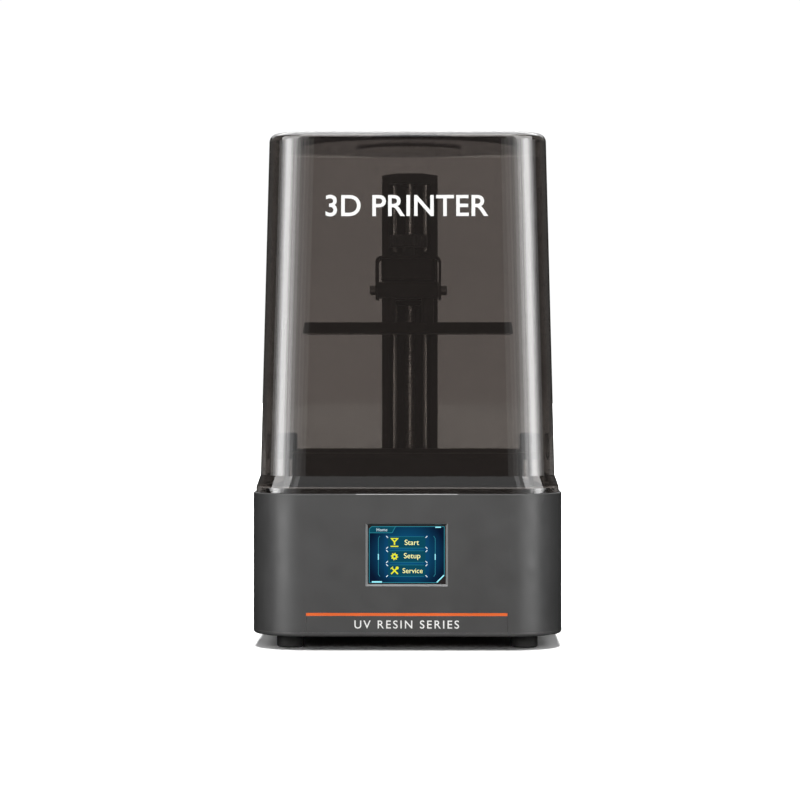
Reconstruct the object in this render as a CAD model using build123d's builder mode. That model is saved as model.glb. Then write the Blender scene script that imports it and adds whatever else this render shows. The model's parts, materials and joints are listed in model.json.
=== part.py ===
from build123d import *
import os

# Desktop resin printer: a tinted lift-off cover stands over a resin vat and over a build
# platform that a screw-driven column raises. The base below holds the exposure screen, the
# light engine, the motor, the fan and the electronics.
# Millimetres, +Z up, front towards -Y, origin on the floor at the centre of the footprint.

os.makedirs("parts", exist_ok=True)

# ------------------------------------------------------------------ driving dimensions
WIDTH, DEPTH, HEIGHT = 235.0, 227.0, 390.0
CORNER_R = 40.0
WALL = 3.0
FOOT_H, FOOT_R, FOOT_SPIGOT_R = 10.0, 10.0, 4.0
FOOT_PITCH_X, FOOT_PITCH_Y = 177.6, 170.0
TRAY_T, TRAY_FILLET = 3.0, 2.2
BASE_TOP = 117.0
LEDGE_FILLET = 0.8

# Screws: shank radii, and head radius and height of the socket and pan heads.
M3_R, M4_R = 1.5, 2.0
M3_HEAD_R, M3_HEAD_H = 2.75, 3.0
M4_HEAD_R, M4_HEAD_H, M4_HEX_R = 3.4, 4.0, 1.7
FILM_SCREW_R, FILM_HEAD_R, FILM_HEAD_H = 1.0, 1.8, 0.9
FLAT_HEAD_R = 3.0

# Lid: a rim, a flared skirt and a tapered body, closed by a dished top.
LID_INSET = 2.2
LID_RIM_H, LID_SKIRT_H, LID_SKIRT_IN = 4.0, 9.0, 3.1
LID_TAPER_IN = 6.5
LID_CORNER_R = 36.0
LID_TOP_FILLET = 6.0
DISH_R, DISH_STEP = 83.5, 2.5
INNER_DISH_R, INNER_DISH_STEP = 39.0, 1.5

# Deck plate and exposure screen. WORK_Y is the centre of screen, vat and platform.
DECK_T = 2.5
DECK_TOP = BASE_TOP + DECK_T
DECK_W, DECK_D, DECK_R = 216.0, 208.0, 30.0
DECK_OPEN_W, DECK_OPEN_D, DECK_OPEN_R = 206.0, 196.0, 25.0
DECK_SCREW_REACH = 60.0
TRAY_SCREW_X, TRAY_SCREW_Y, PILLAR_R, PILLAR_H = 98.0, 62.0, 4.5, 40.0
WORK_Y = -17.0
GLASS_W, GLASS_D, GLASS_PROUD, GLASS_GAP = 164.0, 98.0, 0.8, 0.6
MASK_W, MASK_D, MASK_T = 172.0, 108.0, 1.6

# Column, guide rods and lead screw.
COLUMN_W, COLUMN_FRONT, COLUMN_BACK = 45.0, 52.0, 86.0
COLUMN_WALL, COLUMN_LIP_T, COLUMN_GAP_W, RIB_X = 2.0, 2.5, 34.0, 9.0
COLUMN_BACK_T, CHANNEL_X, CHANNEL_Y, CHANNEL_R = 3.0, 18.5, 80.5, 3.0
COLUMN_TOP, CAP_TOP, CAP_FLAT, CAP_DROP = 361.0, 369.0, 10.0, 1.8
SCREW_Y = 67.0
ROD_X, ROD_R, ROD_SEAT = 13.0, 3.0, 3.0
THREAD_R, JOURNAL_R, THREAD_LOW, THREAD_HIGH, SCREW_TOP = 4.0, 2.5, 113.0, 357.0, 366.0
BEARING_R, BEARING_T = 6.5, 4.0
BRACKET_FOOT, BRACKET_RISE, BRACKET_HALF_W, BRACKET_WALL = 14.0, 22.0, 20.0, 3.0
BRACKET_DECK_X, BRACKET_DECK_Y, BRACKET_COLUMN_X, BRACKET_COLUMN_Z = 16.0, 93.0, 12.0, 14.0
MOTOR_Z, MOTOR_W, MOTOR_CHAMFER, MOTOR_PILOT_R, MOTOR_SCREW_PITCH = 75.0, 42.0, 4.0, 11.0, 31.0
ROTOR_R, ROTOR_H, ROTOR_ROOM_R, ROTOR_ROOM_H = 12.0, 28.0, 13.0, 34.0
SENSOR_W, SENSOR_D, SENSOR_Y, SENSOR_BASE_H, SENSOR_ARM_H = 16.0, 6.8, 79.6, 10.0, 8.0

# Build platform, at the height where it is parked.
PLATE_W, PLATE_D, PLATE_T, PLATE_Z = 162.0, 92.0, 8.4, 238.0
BLOCK_Z, BLOCK_T = 266.0, 12.0
ARM_W, ARM_Z, ARM_TOP = 42.0, 280.0, 296.3
ARM_FRONT, ARM_BACK = -33.0, 50.0
BRACKET_W, BRACKET_T, BRACKET_L = 51.0, 1.8, 40.0
BRACKET_LOW = 264.5
POST_R, POST_X, POST_DY = 4.75, 15.0, 11.0
LEVEL_SCREW_DY, LEVEL_SCREW_START, LEVEL_SCREW_Z, LEVEL_HEAD_H = 12.0, 19.2, 6.0, 4.6
CARRIAGE_TOP, CARRIAGE_W, CARRIAGE_D, CARRIAGE_GAP = 305.0, 40.0, 20.5, 3.5
BUSHING_R, NUT_R, NUT_FLANGE_T, NUT_LENGTH = 6.0, 5.2, 4.0, 19.0
FLANGE_W, FLANGE_T = 43.0, 8.0
ARM_BOLT_Z, ARM_BOLT_DX, ARM_BOLT_DZ = 286.0, 26.0, 30.0
KNOB_R, KNOB_LOW, KNOB_HIGH, KNOB_LOBES, KNOB_STUD_R, KNOB_STUD_LOW = 15.0, 305.9, 315.4, 12, 2.95, 283.5
BORE_R, BORE_H = 3.6, 4.2

# Vat.
VAT_W, VAT_D, VAT_R, VAT_Z, VAT_TOP = 178.0, 122.0, 12.0, 123.5, 146.5
VAT_RIM_H, VAT_RIM_W, VAT_RIM_D = 4.0, 6.0, 7.0
EAR_REACH, EAR_D, EAR_T, EAR_R = 209.0, 26.0, 6.5, 6.0
BASIN_LOW = (166.0, 97.0)
BASIN_HIGH = (172.0, 112.0)
FILM_Z, FILM_T, FILM_RING_T = 120.5, 0.4, 0.9
THUMB_X, THUMB_R, THUMB_TOP, THUMB_SHANK_R, THUMB_LOW, THUMB_NOTCHES = 96.5, 9.0, 160.7, 2.5, 111.2, 10
INSERT_R, INSERT_BORE_R, INSERT_H = 4.4, 2.6, 11.0

# Front panel.
WINDOW_W, WINDOW_H, WINDOW_Z = 61.5, 46.7, 71.4
SCREEN_W, SCREEN_H = 58.4, 44.0
TOUCH_W, TOUCH_H, TOUCH_T = 69.0, 50.0, 3.2
TOUCH_BOARD_W, TOUCH_HOLE_PITCH = 86.0, (79.0, 43.0)
BOARD_T = 1.6
TRIM_W, TRIM_TOP, STRIP_H, TRIM_T, TRIM_SET_BACK = 151.0, 28.0, 2.3, 1.5, 0.3

# Light engine.
SINK_Z, SINK_BASE_Z, LED_BOARD_Z, SHROUD_Z = 22.0, 37.0, 42.0, 44.0
ENGINE_W, ENGINE_D = 150.0, 90.0
LED_NX, LED_NY, LED_DX, LED_DY, LED_SIZE, LED_T = 6, 4, 23.0, 20.0, 3.5, 1.4
SHROUD_TOP_W, SHROUD_TOP_D, SHROUD_WALL = 174.0, 110.0, 2.5
LENS_Z, LENS_T, LENS_R, LENS_ARC = 52.0, 2.0, 9.5, 39.0
FIN_T, FIN_PITCH, FIN_COUNT = 2.0, 9.2, 16
SINK_PILLAR_PITCH, SINK_PILLAR_R = (130.0, 70.0), 4.0
VENT_L, VENT_W, VENT_PITCH, VENT_COUNT = 38.0, 3.4, (46.0, 9.0), (3, 5)

# Rear panel: fan and power.
FAN_X, FAN_Z, FAN_SIZE, FAN_T = 46.0, 62.0, 60.0, 15.0
FAN_HOLE_R, FAN_SCREW_PITCH = 28.0, 50.0
FAN_SEAT_R, FAN_SEAT_T, STRUT_W, FAN_PIN_R = 13.0, 2.5, 3.0, 1.5
HUB_R, HUB_H, HUB_LIFT = 12.0, 10.5, 3.0
BLADES, BLADE_L, BLADE_T, BLADE_W, BLADE_TURN = 7, 15.4, 1.2, 11.0, 52.0
GRILLE_REACH, GRILLE_PITCH, GRILLE_W = 24, 6, 3.2
AIR_SLOT_Z, AIR_SLOT_L, AIR_SLOT_W, AIR_SLOT_COUNT = 84.0, 26.0, 2.8, 10
IO_POCKET_W, IO_POCKET_H, IO_POCKET_T = 62.0, 26.0, 1.6
IO_X, IO_Z = -44.0, 42.0
SWITCH_X, JACK_X = -58.0, -27.0
SWITCH_HOLE, SWITCH_BODY, SWITCH_FLANGE, SWITCH_WELL = (19.2, 13.2), (19.0, 13.0), (22.0, 16.0), (16.4, 10.8)
SWITCH_DEPTH, SWITCH_WELL_T, SWITCH_SET_BACK = 15.0, 9.0, 0.2
TAB_X, TAB_T, TAB_H, TAB_L = 5.0, 0.8, 6.0, 7.0
ROCKER_PIVOT, ROCKER_TILT, ROCKER_PIN_R, ROCKER_HALF_W, PIN_HALF_L = DEPTH / 2 - 4.4, 9.0, 1.2, 7.9, 8.9
JACK_R, JACK_FLANGE_R, JACK_FLANGE_T, JACK_BORE_R, JACK_L = 5.5, 7.5, 0.8, 3.2, 14.0
JACK_BORE_L, JACK_PIN_R, JACK_PIN_L = 10.5, 1.0, 12.0
USB_Y, USB_Z, USB_W, USB_H, USB_WALL, USB_L, USB_PLUG_L = -50.0, 46.0, 13.2, 5.8, 0.4, 16.0, 3.0
BOARD_X, BOARD_Y, BOARD_W, BOARD_D, BOARD_RISE = -48.0, 72.0, 82.0, 56.0, 11.0
BOARD_HOLE_PITCH, BOARD_PILLAR_R = (74.0, 48.0), 3.0

HOUSING_Z = FOOT_H + TRAY_T
BOARD_Z = HOUSING_Z + BOARD_RISE
MASK_Z = BASE_TOP - MASK_T
SKIRT_LOW = BASE_TOP + LID_RIM_H
SKIRT_HIGH = SKIRT_LOW + LID_SKIRT_H
REAR = DEPTH / 2
SWITCH_FACE = REAR - IO_POCKET_T
FAN_FRONT = REAR - WALL
HUB_BACK = FAN_FRONT - FAN_T + HUB_LIFT
BRACKET_TOP = ARM_TOP + 0.2 + BRACKET_T
CLEAR = 0.1  # radial room round a screw or spigot
PIN_ROOM = 0.05  # radial room round a turning pin


def write(piece, label):
    """Labels a finished piece and writes it to its own STEP file."""
    piece.part.label = label
    export_step(piece.part, f"parts/{label}.step")


def deck_screw_spots():
    """Where the deck plate is screwed to the housing ledge."""
    x, y = DECK_OPEN_W / 2 + 2.5, DECK_OPEN_D / 2 + 3.0
    along = (-DECK_SCREW_REACH, DECK_SCREW_REACH)
    return [(sx * x, dy) for sx in (-1, 1) for dy in along] + [(dx, sy * y) for sy in (-1, 1) for dx in along]


def motor_screw_spots():
    """The square of four screws that hangs the motor under the deck plate."""
    reach = MOTOR_SCREW_PITCH / 2
    return [(sx * reach, SCREW_Y + sy * reach) for sx in (-1, 1) for sy in (-1, 1)]


def tray_screw_spots():
    """Where the tray is screwed to the four pillars of the housing."""
    return [(sx * TRAY_SCREW_X, sy * TRAY_SCREW_Y) for sx in (-1, 1) for sy in (-1, 1)]


def bracket_column_spots():
    """Where the bracket is screwed to the column, as x and height."""
    return [(sx * BRACKET_COLUMN_X, DECK_TOP + BRACKET_COLUMN_Z) for sx in (-1, 1)]


def film_screw_spots():
    """The ring of screws that clamps the release film, round the centre of the vat."""
    side_x, side_pitch, end_y, end_pitch = 86.8, 24, 55.5, 28
    sides = [(sx * side_x, n * side_pitch) for sx in (-1, 1) for n in range(-2, 3)]
    ends = [((n - 2.5) * end_pitch, sy * end_y) for sy in (-1, 1) for n in range(6)]
    return sides + ends


# ================================================================== base
with BuildPart() as bottom_tray:
    with BuildSketch(Plane.XY.offset(FOOT_H)):
        RectangleRounded(WIDTH, DEPTH, CORNER_R)
    extrude(amount=TRAY_T)
    fillet(bottom_tray.faces().sort_by(Axis.Z)[0].edges(), TRAY_FILLET)
    # pillars under the heat sink and under the mainboard
    with BuildSketch(Plane.XY.offset(HOUSING_Z)):
        with Locations((0, WORK_Y)):
            with GridLocations(*SINK_PILLAR_PITCH, 2, 2):
                Circle(SINK_PILLAR_R)
    extrude(amount=SINK_Z - HOUSING_Z)
    with BuildSketch(Plane.XY.offset(HOUSING_Z)):
        with Locations((BOARD_X, BOARD_Y)):
            with GridLocations(*BOARD_HOLE_PITCH, 2, 2):
                Circle(BOARD_PILLAR_R)
    extrude(amount=BOARD_RISE)
    # vents under the heat sink, foot spigot holes and screw holes
    with BuildSketch(Plane.XY.offset(FOOT_H)):
        with Locations((0, WORK_Y)):
            with GridLocations(*VENT_PITCH, *VENT_COUNT):
                SlotOverall(VENT_L, VENT_W)
        with GridLocations(FOOT_PITCH_X, FOOT_PITCH_Y, 2, 2):
            Circle(FOOT_SPIGOT_R + CLEAR)
        with Locations(*tray_screw_spots()):
            Circle(M3_R + 2 * CLEAR)
    extrude(amount=TRAY_T, mode=Mode.SUBTRACT)
write(bottom_tray, "bottom_tray")

with BuildPart() as rubber_feet:
    with BuildSketch():
        with GridLocations(FOOT_PITCH_X, FOOT_PITCH_Y, 2, 2):
            Circle(FOOT_R)
    extrude(amount=FOOT_H)
    chamfer(rubber_feet.faces().group_by(Axis.Z)[0].edges(), 1.0)
    with BuildSketch(Plane.XY.offset(FOOT_H)):
        with GridLocations(FOOT_PITCH_X, FOOT_PITCH_Y, 2, 2):
            Circle(FOOT_SPIGOT_R)
    extrude(amount=TRAY_T - 4 * CLEAR)
write(rubber_feet, "rubber_feet")

with BuildPart() as tray_screws:
    pan_r, pan_h, length = 2.9, 1.6, 12
    with BuildSketch(Plane.XY.offset(FOOT_H - pan_h)):
        with Locations(*tray_screw_spots()):
            Circle(pan_r)
    extrude(amount=pan_h)
    with BuildSketch(Plane.XY.offset(FOOT_H)):
        with Locations(*tray_screw_spots()):
            Circle(M3_R)
    extrude(amount=length)
write(tray_screws, "tray_screws")

with BuildPart() as housing_shell:
    with BuildSketch(Plane.XY.offset(HOUSING_Z)):
        RectangleRounded(WIDTH, DEPTH, CORNER_R)
    extrude(amount=BASE_TOP - HOUSING_Z)
    fillet(housing_shell.faces().sort_by(Axis.Z)[-1].edges(), LEDGE_FILLET)
    with BuildSketch(Plane.XY.offset(HOUSING_Z)):
        RectangleRounded(WIDTH - 2 * WALL, DEPTH - 2 * WALL, CORNER_R - WALL)
    extrude(amount=BASE_TOP - HOUSING_Z - WALL, mode=Mode.SUBTRACT)
    with BuildSketch(Plane.XY.offset(BASE_TOP - WALL)):
        RectangleRounded(DECK_OPEN_W, DECK_OPEN_D, DECK_OPEN_R)
    extrude(amount=WALL, mode=Mode.SUBTRACT)
    # corner pillars for the tray screws, tied to the side walls by ribs
    rib_l = 18
    with BuildSketch(Plane.XY.offset(HOUSING_Z)):
        with Locations(*tray_screw_spots()):
            Circle(PILLAR_R)
        with GridLocations(2 * (TRAY_SCREW_X + rib_l / 2), 2 * TRAY_SCREW_Y, 2, 2):
            Rectangle(rib_l, WALL)
    extrude(amount=PILLAR_H)
    with BuildSketch(Plane.XY.offset(HOUSING_Z)):
        with Locations(*tray_screw_spots()):
            Circle(M3_R + CLEAR)
    extrude(amount=16, mode=Mode.SUBTRACT)
    # screw holes for the deck plate in the ledge
    with BuildSketch(Plane.XY.offset(BASE_TOP - WALL)):
        with Locations(*deck_screw_spots()):
            Circle(M3_R + CLEAR)
    extrude(amount=WALL, mode=Mode.SUBTRACT)
    # window for the touch screen, with bevelled sides
    with BuildSketch(Plane.XZ.offset(REAR)):
        with Locations((0, WINDOW_Z)):
            Rectangle(WINDOW_W, WINDOW_H)
    with BuildSketch(Plane.XZ.offset(REAR - WALL)):
        with Locations((0, WINDOW_Z)):
            Rectangle(SCREEN_W, SCREEN_H)
    loft(mode=Mode.SUBTRACT)
    # shallow seat for the trim plate along the lower front edge
    with BuildSketch(Plane.XZ.offset(REAR)):
        with Locations((0, HOUSING_Z)):
            Rectangle(TRIM_W, TRIM_TOP - HOUSING_Z, align=(Align.CENTER, Align.MIN))
    extrude(amount=-TRIM_T, mode=Mode.SUBTRACT)
    # rear: fan grille, fan screws, socket pocket with its two holes, and air slots
    with BuildSketch(Plane.XZ.offset(-REAR)):
        for dx in range(-GRILLE_REACH, GRILLE_REACH + 1, GRILLE_PITCH):
            reach = (FAN_HOLE_R**2 - dx**2) ** 0.5 - 1.5
            with Locations((FAN_X + dx, FAN_Z)):
                SlotOverall(2 * reach, GRILLE_W, rotation=90)
        with Locations((FAN_X, FAN_Z)):
            with GridLocations(FAN_SCREW_PITCH, FAN_SCREW_PITCH, 2, 2):
                Circle(M3_R + CLEAR)
        with Locations((SWITCH_X, IO_Z)):
            Rectangle(*SWITCH_HOLE)
        with Locations((JACK_X, IO_Z)):
            Circle(JACK_R + CLEAR)
        with Locations((IO_X, AIR_SLOT_Z)):
            with GridLocations(GRILLE_PITCH, 1, AIR_SLOT_COUNT, 1):
                SlotOverall(AIR_SLOT_L, AIR_SLOT_W, rotation=90)
    extrude(amount=WALL, mode=Mode.SUBTRACT)
    with BuildSketch(Plane.XZ.offset(-REAR)):
        with Locations((IO_X, IO_Z)):
            RectangleRounded(IO_POCKET_W, IO_POCKET_H, 3)
    extrude(amount=IO_POCKET_T, mode=Mode.SUBTRACT)
    # right side: the USB slot
    with BuildSketch(Plane.YZ.offset(WIDTH / 2)):
        with Locations((USB_Y, USB_Z)):
            Rectangle(USB_W + USB_WALL, USB_H + USB_WALL)
    extrude(amount=-WALL, mode=Mode.SUBTRACT)
write(housing_shell, "housing_shell")

with BuildPart() as front_trim_plate:
    with BuildSketch(Plane.XZ.offset(REAR - TRIM_T)):
        with Locations((0, HOUSING_Z)):
            Rectangle(TRIM_W - 0.6, TRIM_TOP - STRIP_H - HOUSING_Z, align=(Align.CENTER, Align.MIN))
    extrude(amount=TRIM_T - TRIM_SET_BACK)
write(front_trim_plate, "front_trim_plate")

with BuildPart() as accent_strip:
    with BuildSketch(Plane.XZ.offset(REAR - TRIM_T)):
        with Locations((0, TRIM_TOP)):
            Rectangle(TRIM_W - 0.2, STRIP_H, align=(Align.CENTER, Align.MAX))
    extrude(amount=TRIM_T - TRIM_SET_BACK)
write(accent_strip, "accent_strip")

with BuildPart() as deck_plate:
    with BuildSketch(Plane.XY.offset(BASE_TOP)):
        RectangleRounded(DECK_W, DECK_D, DECK_R)
        with Locations((0, WORK_Y)):
            Rectangle(GLASS_W + GLASS_GAP, GLASS_D + GLASS_GAP, mode=Mode.SUBTRACT)
        with Locations((0, SCREW_Y)):
            Circle(MOTOR_PILOT_R + CLEAR, mode=Mode.SUBTRACT)
        with Locations((-THUMB_X, WORK_Y), (THUMB_X, WORK_Y)):
            Circle(INSERT_R + CLEAR, mode=Mode.SUBTRACT)
        with Locations((-BRACKET_DECK_X, BRACKET_DECK_Y), (BRACKET_DECK_X, BRACKET_DECK_Y)):
            Circle(M3_R + CLEAR, mode=Mode.SUBTRACT)
    extrude(amount=DECK_T)
    with Locations(*[(x, y, DECK_TOP) for x, y in deck_screw_spots() + motor_screw_spots()]):
        CounterSinkHole(M3_R + CLEAR, FLAT_HEAD_R + CLEAR, counter_sink_angle=90)
write(deck_plate, "deck_plate")


def flat_head_screws(spots, top, length):
    """Countersunk M3 screws that point down, with their heads flush at the given height."""
    head_h = FLAT_HEAD_R - M3_R
    with BuildPart() as screws:
        for x, y in spots:
            with BuildSketch(Plane((x, y, top))):
                Circle(FLAT_HEAD_R)
            with BuildSketch(Plane((x, y, top - head_h))):
                Circle(M3_R)
            loft()
            with BuildSketch(Plane((x, y, top - head_h))):
                Circle(M3_R)
            extrude(amount=-(length - head_h))
    return screws


write(flat_head_screws(deck_screw_spots() + motor_screw_spots(), DECK_TOP, 9), "deck_screws")

with BuildPart() as vat_inserts:
    with BuildSketch(Plane.XY.offset(DECK_TOP - INSERT_H)):
        with Locations((-THUMB_X, WORK_Y), (THUMB_X, WORK_Y)):
            Circle(INSERT_R)
            Circle(INSERT_BORE_R, mode=Mode.SUBTRACT)
    extrude(amount=INSERT_H)
write(vat_inserts, "vat_inserts")

# ================================================================== exposure screen and light engine
with BuildPart() as lcd_cover_glass:
    with BuildSketch(Plane.XY.offset(BASE_TOP)):
        with Locations((0, WORK_Y)):
            Rectangle(GLASS_W, GLASS_D)
    extrude(amount=DECK_T + GLASS_PROUD)
write(lcd_cover_glass, "lcd_cover_glass")

with BuildPart() as lcd_mask_panel:
    with BuildSketch(Plane.XY.offset(MASK_Z)):
        with Locations((0, WORK_Y)):
            Rectangle(MASK_W, MASK_D)
    extrude(amount=MASK_T)
write(lcd_mask_panel, "lcd_mask_panel")

with BuildPart() as light_shroud:
    for inset in (0, SHROUD_WALL):
        with BuildSketch(Plane.XY.offset(SHROUD_Z)):
            with Locations((0, WORK_Y)):
                Rectangle(ENGINE_W - 2 * inset, ENGINE_D - 2 * inset)
        with BuildSketch(Plane.XY.offset(MASK_Z)):
            with Locations((0, WORK_Y)):
                Rectangle(SHROUD_TOP_W - 2 * inset, SHROUD_TOP_D - 2 * inset)
        loft(mode=Mode.SUBTRACT if inset else Mode.ADD)
write(light_shroud, "light_shroud")

with BuildPart() as lens_array:
    with BuildSketch(Plane.XY.offset(LENS_Z)):
        with Locations((0, WORK_Y)):
            Rectangle(ENGINE_W - 6, ENGINE_D - 6)
    extrude(amount=LENS_T)
    with Locations((0, WORK_Y, LENS_Z + LENS_T)):
        with GridLocations(LED_DX, LED_DY, LED_NX, LED_NY):
            Sphere(LENS_R, arc_size1=LENS_ARC, align=(Align.CENTER, Align.CENTER, Align.MIN))
write(lens_array, "lens_array")

with BuildPart() as led_board:
    with BuildSketch(Plane.XY.offset(LED_BOARD_Z)):
        with Locations((0, WORK_Y)):
            Rectangle(ENGINE_W, ENGINE_D)
    extrude(amount=SHROUD_Z - LED_BOARD_Z)
write(led_board, "led_board")

with BuildPart() as uv_leds:
    with BuildSketch(Plane.XY.offset(SHROUD_Z)):
        with Locations((0, WORK_Y)):
            with GridLocations(LED_DX, LED_DY, LED_NX, LED_NY):
                Rectangle(LED_SIZE, LED_SIZE)
    extrude(amount=LED_T)
write(uv_leds, "uv_leds")

with BuildPart() as led_heat_sink:
    with BuildSketch(Plane.XY.offset(SINK_BASE_Z)):
        with Locations((0, WORK_Y)):
            Rectangle(ENGINE_W, ENGINE_D)
    extrude(amount=LED_BOARD_Z - SINK_BASE_Z)
    with BuildSketch(Plane.XY.offset(SINK_Z)):
        with Locations((0, WORK_Y)):
            with GridLocations(FIN_PITCH, 1, FIN_COUNT, 1):
                Rectangle(FIN_T, ENGINE_D)
    extrude(amount=SINK_BASE_Z - SINK_Z)
write(led_heat_sink, "led_heat_sink")

# ================================================================== electronics
with BuildPart() as mainboard:
    with BuildSketch(Plane.XY.offset(BOARD_Z)):
        with Locations((BOARD_X, BOARD_Y)):
            Rectangle(BOARD_W, BOARD_D)
            with GridLocations(*BOARD_HOLE_PITCH, 2, 2):
                Circle(M3_R, mode=Mode.SUBTRACT)
    extrude(amount=BOARD_T)
write(mainboard, "mainboard")

with BuildPart() as mainboard_parts:
    # across, deep, width, depth, height: processor, two drivers, four headers, two sockets
    chips = [(-5, -2, 14, 14, 1.4), (21, -10, 10, 10, 6), (21, 8, 10, 10, 6)]
    headers = [(13 * n - 33, -22.5, 9, 6, 7) for n in range(4)]
    sockets = [(-29, 12, 12, 15, 6), (-3, 20, 18, 8, 5)]
    for dx, dy, width, depth, height in chips + headers + sockets:
        with BuildSketch(Plane((BOARD_X + dx, BOARD_Y + dy, BOARD_Z + BOARD_T))):
            Rectangle(width, depth)
        extrude(amount=height)
    # two capacitors
    with BuildSketch(Plane.XY.offset(BOARD_Z + BOARD_T)):
        with Locations((BOARD_X - 25, BOARD_Y - 6), (BOARD_X - 17, BOARD_Y - 6)):
            Circle(3)
    extrude(amount=8)
write(mainboard_parts, "mainboard_parts")

with BuildPart() as touch_screen_panel:
    with BuildSketch(Plane.XZ.offset(REAR - WALL)):
        with Locations((0, WINDOW_Z)):
            Rectangle(TOUCH_W, TOUCH_H)
    extrude(amount=-TOUCH_T)
write(touch_screen_panel, "touch_screen_panel")

with BuildPart() as touch_screen_board:
    with BuildSketch(Plane.XZ.offset(REAR - WALL - TOUCH_T)):
        with Locations((0, WINDOW_Z)):
            Rectangle(TOUCH_BOARD_W, TOUCH_H)
            with GridLocations(*TOUCH_HOLE_PITCH, 2, 2):
                Circle(M3_R + CLEAR, mode=Mode.SUBTRACT)
    extrude(amount=-BOARD_T)
    with BuildSketch(Plane.XZ.offset(REAR - WALL - TOUCH_T - BOARD_T)):
        with Locations((0, WINDOW_Z + 14), (-12, WINDOW_Z - 12)):
            Rectangle(24, 6)
    extrude(amount=-4)
write(touch_screen_board, "touch_screen_board")

with BuildPart() as usb_socket:
    with BuildSketch(Plane.YZ.offset(WIDTH / 2 - USB_WALL)):
        with Locations((USB_Y, USB_Z)):
            Rectangle(USB_W, USB_H)
            Rectangle(USB_W - 2 * USB_WALL, USB_H - 2 * USB_WALL, mode=Mode.SUBTRACT)
    extrude(amount=-USB_L)
    with BuildSketch(Plane.YZ.offset(WIDTH / 2 - USB_L + USB_PLUG_L)):
        with Locations((USB_Y, USB_Z)):
            Rectangle(USB_W - USB_WALL, USB_H - USB_WALL)
    extrude(amount=-USB_PLUG_L)
write(usb_socket, "usb_socket")

with BuildPart() as power_switch_body:
    with BuildSketch(Plane.XZ.offset(-REAR + SWITCH_SET_BACK)):
        with Locations((SWITCH_X, IO_Z)):
            RectangleRounded(*SWITCH_FLANGE, 1)
    extrude(amount=IO_POCKET_T - SWITCH_SET_BACK)
    with BuildSketch(Plane.XZ.offset(-SWITCH_FACE)):
        with Locations((SWITCH_X, IO_Z)):
            Rectangle(*SWITCH_BODY)
    extrude(amount=SWITCH_DEPTH)
    with BuildSketch(Plane.XZ.offset(-REAR + SWITCH_SET_BACK)):
        with Locations((SWITCH_X, IO_Z)):
            Rectangle(*SWITCH_WELL)
    extrude(amount=SWITCH_WELL_T, mode=Mode.SUBTRACT)
    with BuildSketch(Plane.XZ.offset(-SWITCH_FACE + SWITCH_DEPTH)):
        with Locations((SWITCH_X - TAB_X, IO_Z), (SWITCH_X + TAB_X, IO_Z)):
            Rectangle(TAB_T, TAB_H)
    extrude(amount=TAB_L)
    # bearing holes for the rocker's pin
    with BuildSketch(Plane(origin=(SWITCH_X, ROCKER_PIVOT, IO_Z), z_dir=(1, 0, 0))):
        Circle(ROCKER_PIN_R + PIN_ROOM)
    extrude(amount=PIN_HALF_L + CLEAR, both=True, mode=Mode.SUBTRACT)
write(power_switch_body, "power_switch_body")

# The rocker is a shallow V that turns on a pin across the switch; it rests with one half in.
rocker_up = Vector(0, 1, 0).rotate(Axis.X, ROCKER_TILT)
rocker_plane = Plane(origin=(SWITCH_X, ROCKER_PIVOT, IO_Z), x_dir=rocker_up, z_dir=(1, 0, 0))
with BuildPart() as switch_rocker:
    with BuildSketch(rocker_plane):
        with BuildLine():
            Polyline((3.0, -4.7), (2.1, 0), (3.0, 4.7), (-1.6, 4.7), (-1.6, -4.7), close=True)
        make_face()
    extrude(amount=ROCKER_HALF_W, both=True)
    with BuildSketch(rocker_plane):
        Circle(ROCKER_PIN_R)
    extrude(amount=PIN_HALF_L, both=True)
write(switch_rocker, "switch_rocker")

with BuildPart() as power_inlet:
    with BuildSketch(Plane.XZ.offset(-SWITCH_FACE - JACK_FLANGE_T)):
        with Locations((JACK_X, IO_Z)):
            Circle(JACK_FLANGE_R)
    extrude(amount=JACK_FLANGE_T)
    with BuildSketch(Plane.XZ.offset(-SWITCH_FACE)):
        with Locations((JACK_X, IO_Z)):
            Circle(JACK_R)
    extrude(amount=JACK_L)
    with BuildSketch(Plane.XZ.offset(-SWITCH_FACE - JACK_FLANGE_T)):
        with Locations((JACK_X, IO_Z)):
            Circle(JACK_BORE_R)
    extrude(amount=JACK_BORE_L, mode=Mode.SUBTRACT)
    with BuildSketch(Plane.XZ.offset(-SWITCH_FACE + JACK_L)):
        with Locations((JACK_X, IO_Z)):
            Circle(JACK_PIN_R)
    extrude(amount=-JACK_PIN_L)
write(power_inlet, "power_inlet")

# ================================================================== fan
with BuildPart() as fan_frame:
    with BuildSketch(Plane.XZ.offset(-FAN_FRONT)):
        with Locations((FAN_X, FAN_Z)):
            RectangleRounded(FAN_SIZE, FAN_SIZE, 4)
            Circle(FAN_HOLE_R, mode=Mode.SUBTRACT)
            with GridLocations(FAN_SCREW_PITCH, FAN_SCREW_PITCH, 2, 2):
                Circle(M3_R + CLEAR, mode=Mode.SUBTRACT)
    extrude(amount=FAN_T)
    # motor seat on four struts, on the inner side
    with BuildSketch(Plane.XZ.offset(-FAN_FRONT + FAN_T - FAN_SEAT_T)):
        with Locations((FAN_X, FAN_Z)):
            Circle(FAN_SEAT_R)
            Rectangle(2 * FAN_HOLE_R + 1, STRUT_W)
            Rectangle(STRUT_W, 2 * FAN_HOLE_R + 1)
            Circle(FAN_PIN_R + PIN_ROOM, mode=Mode.SUBTRACT)
    extrude(amount=FAN_SEAT_T)
write(fan_frame, "fan_frame")

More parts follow.
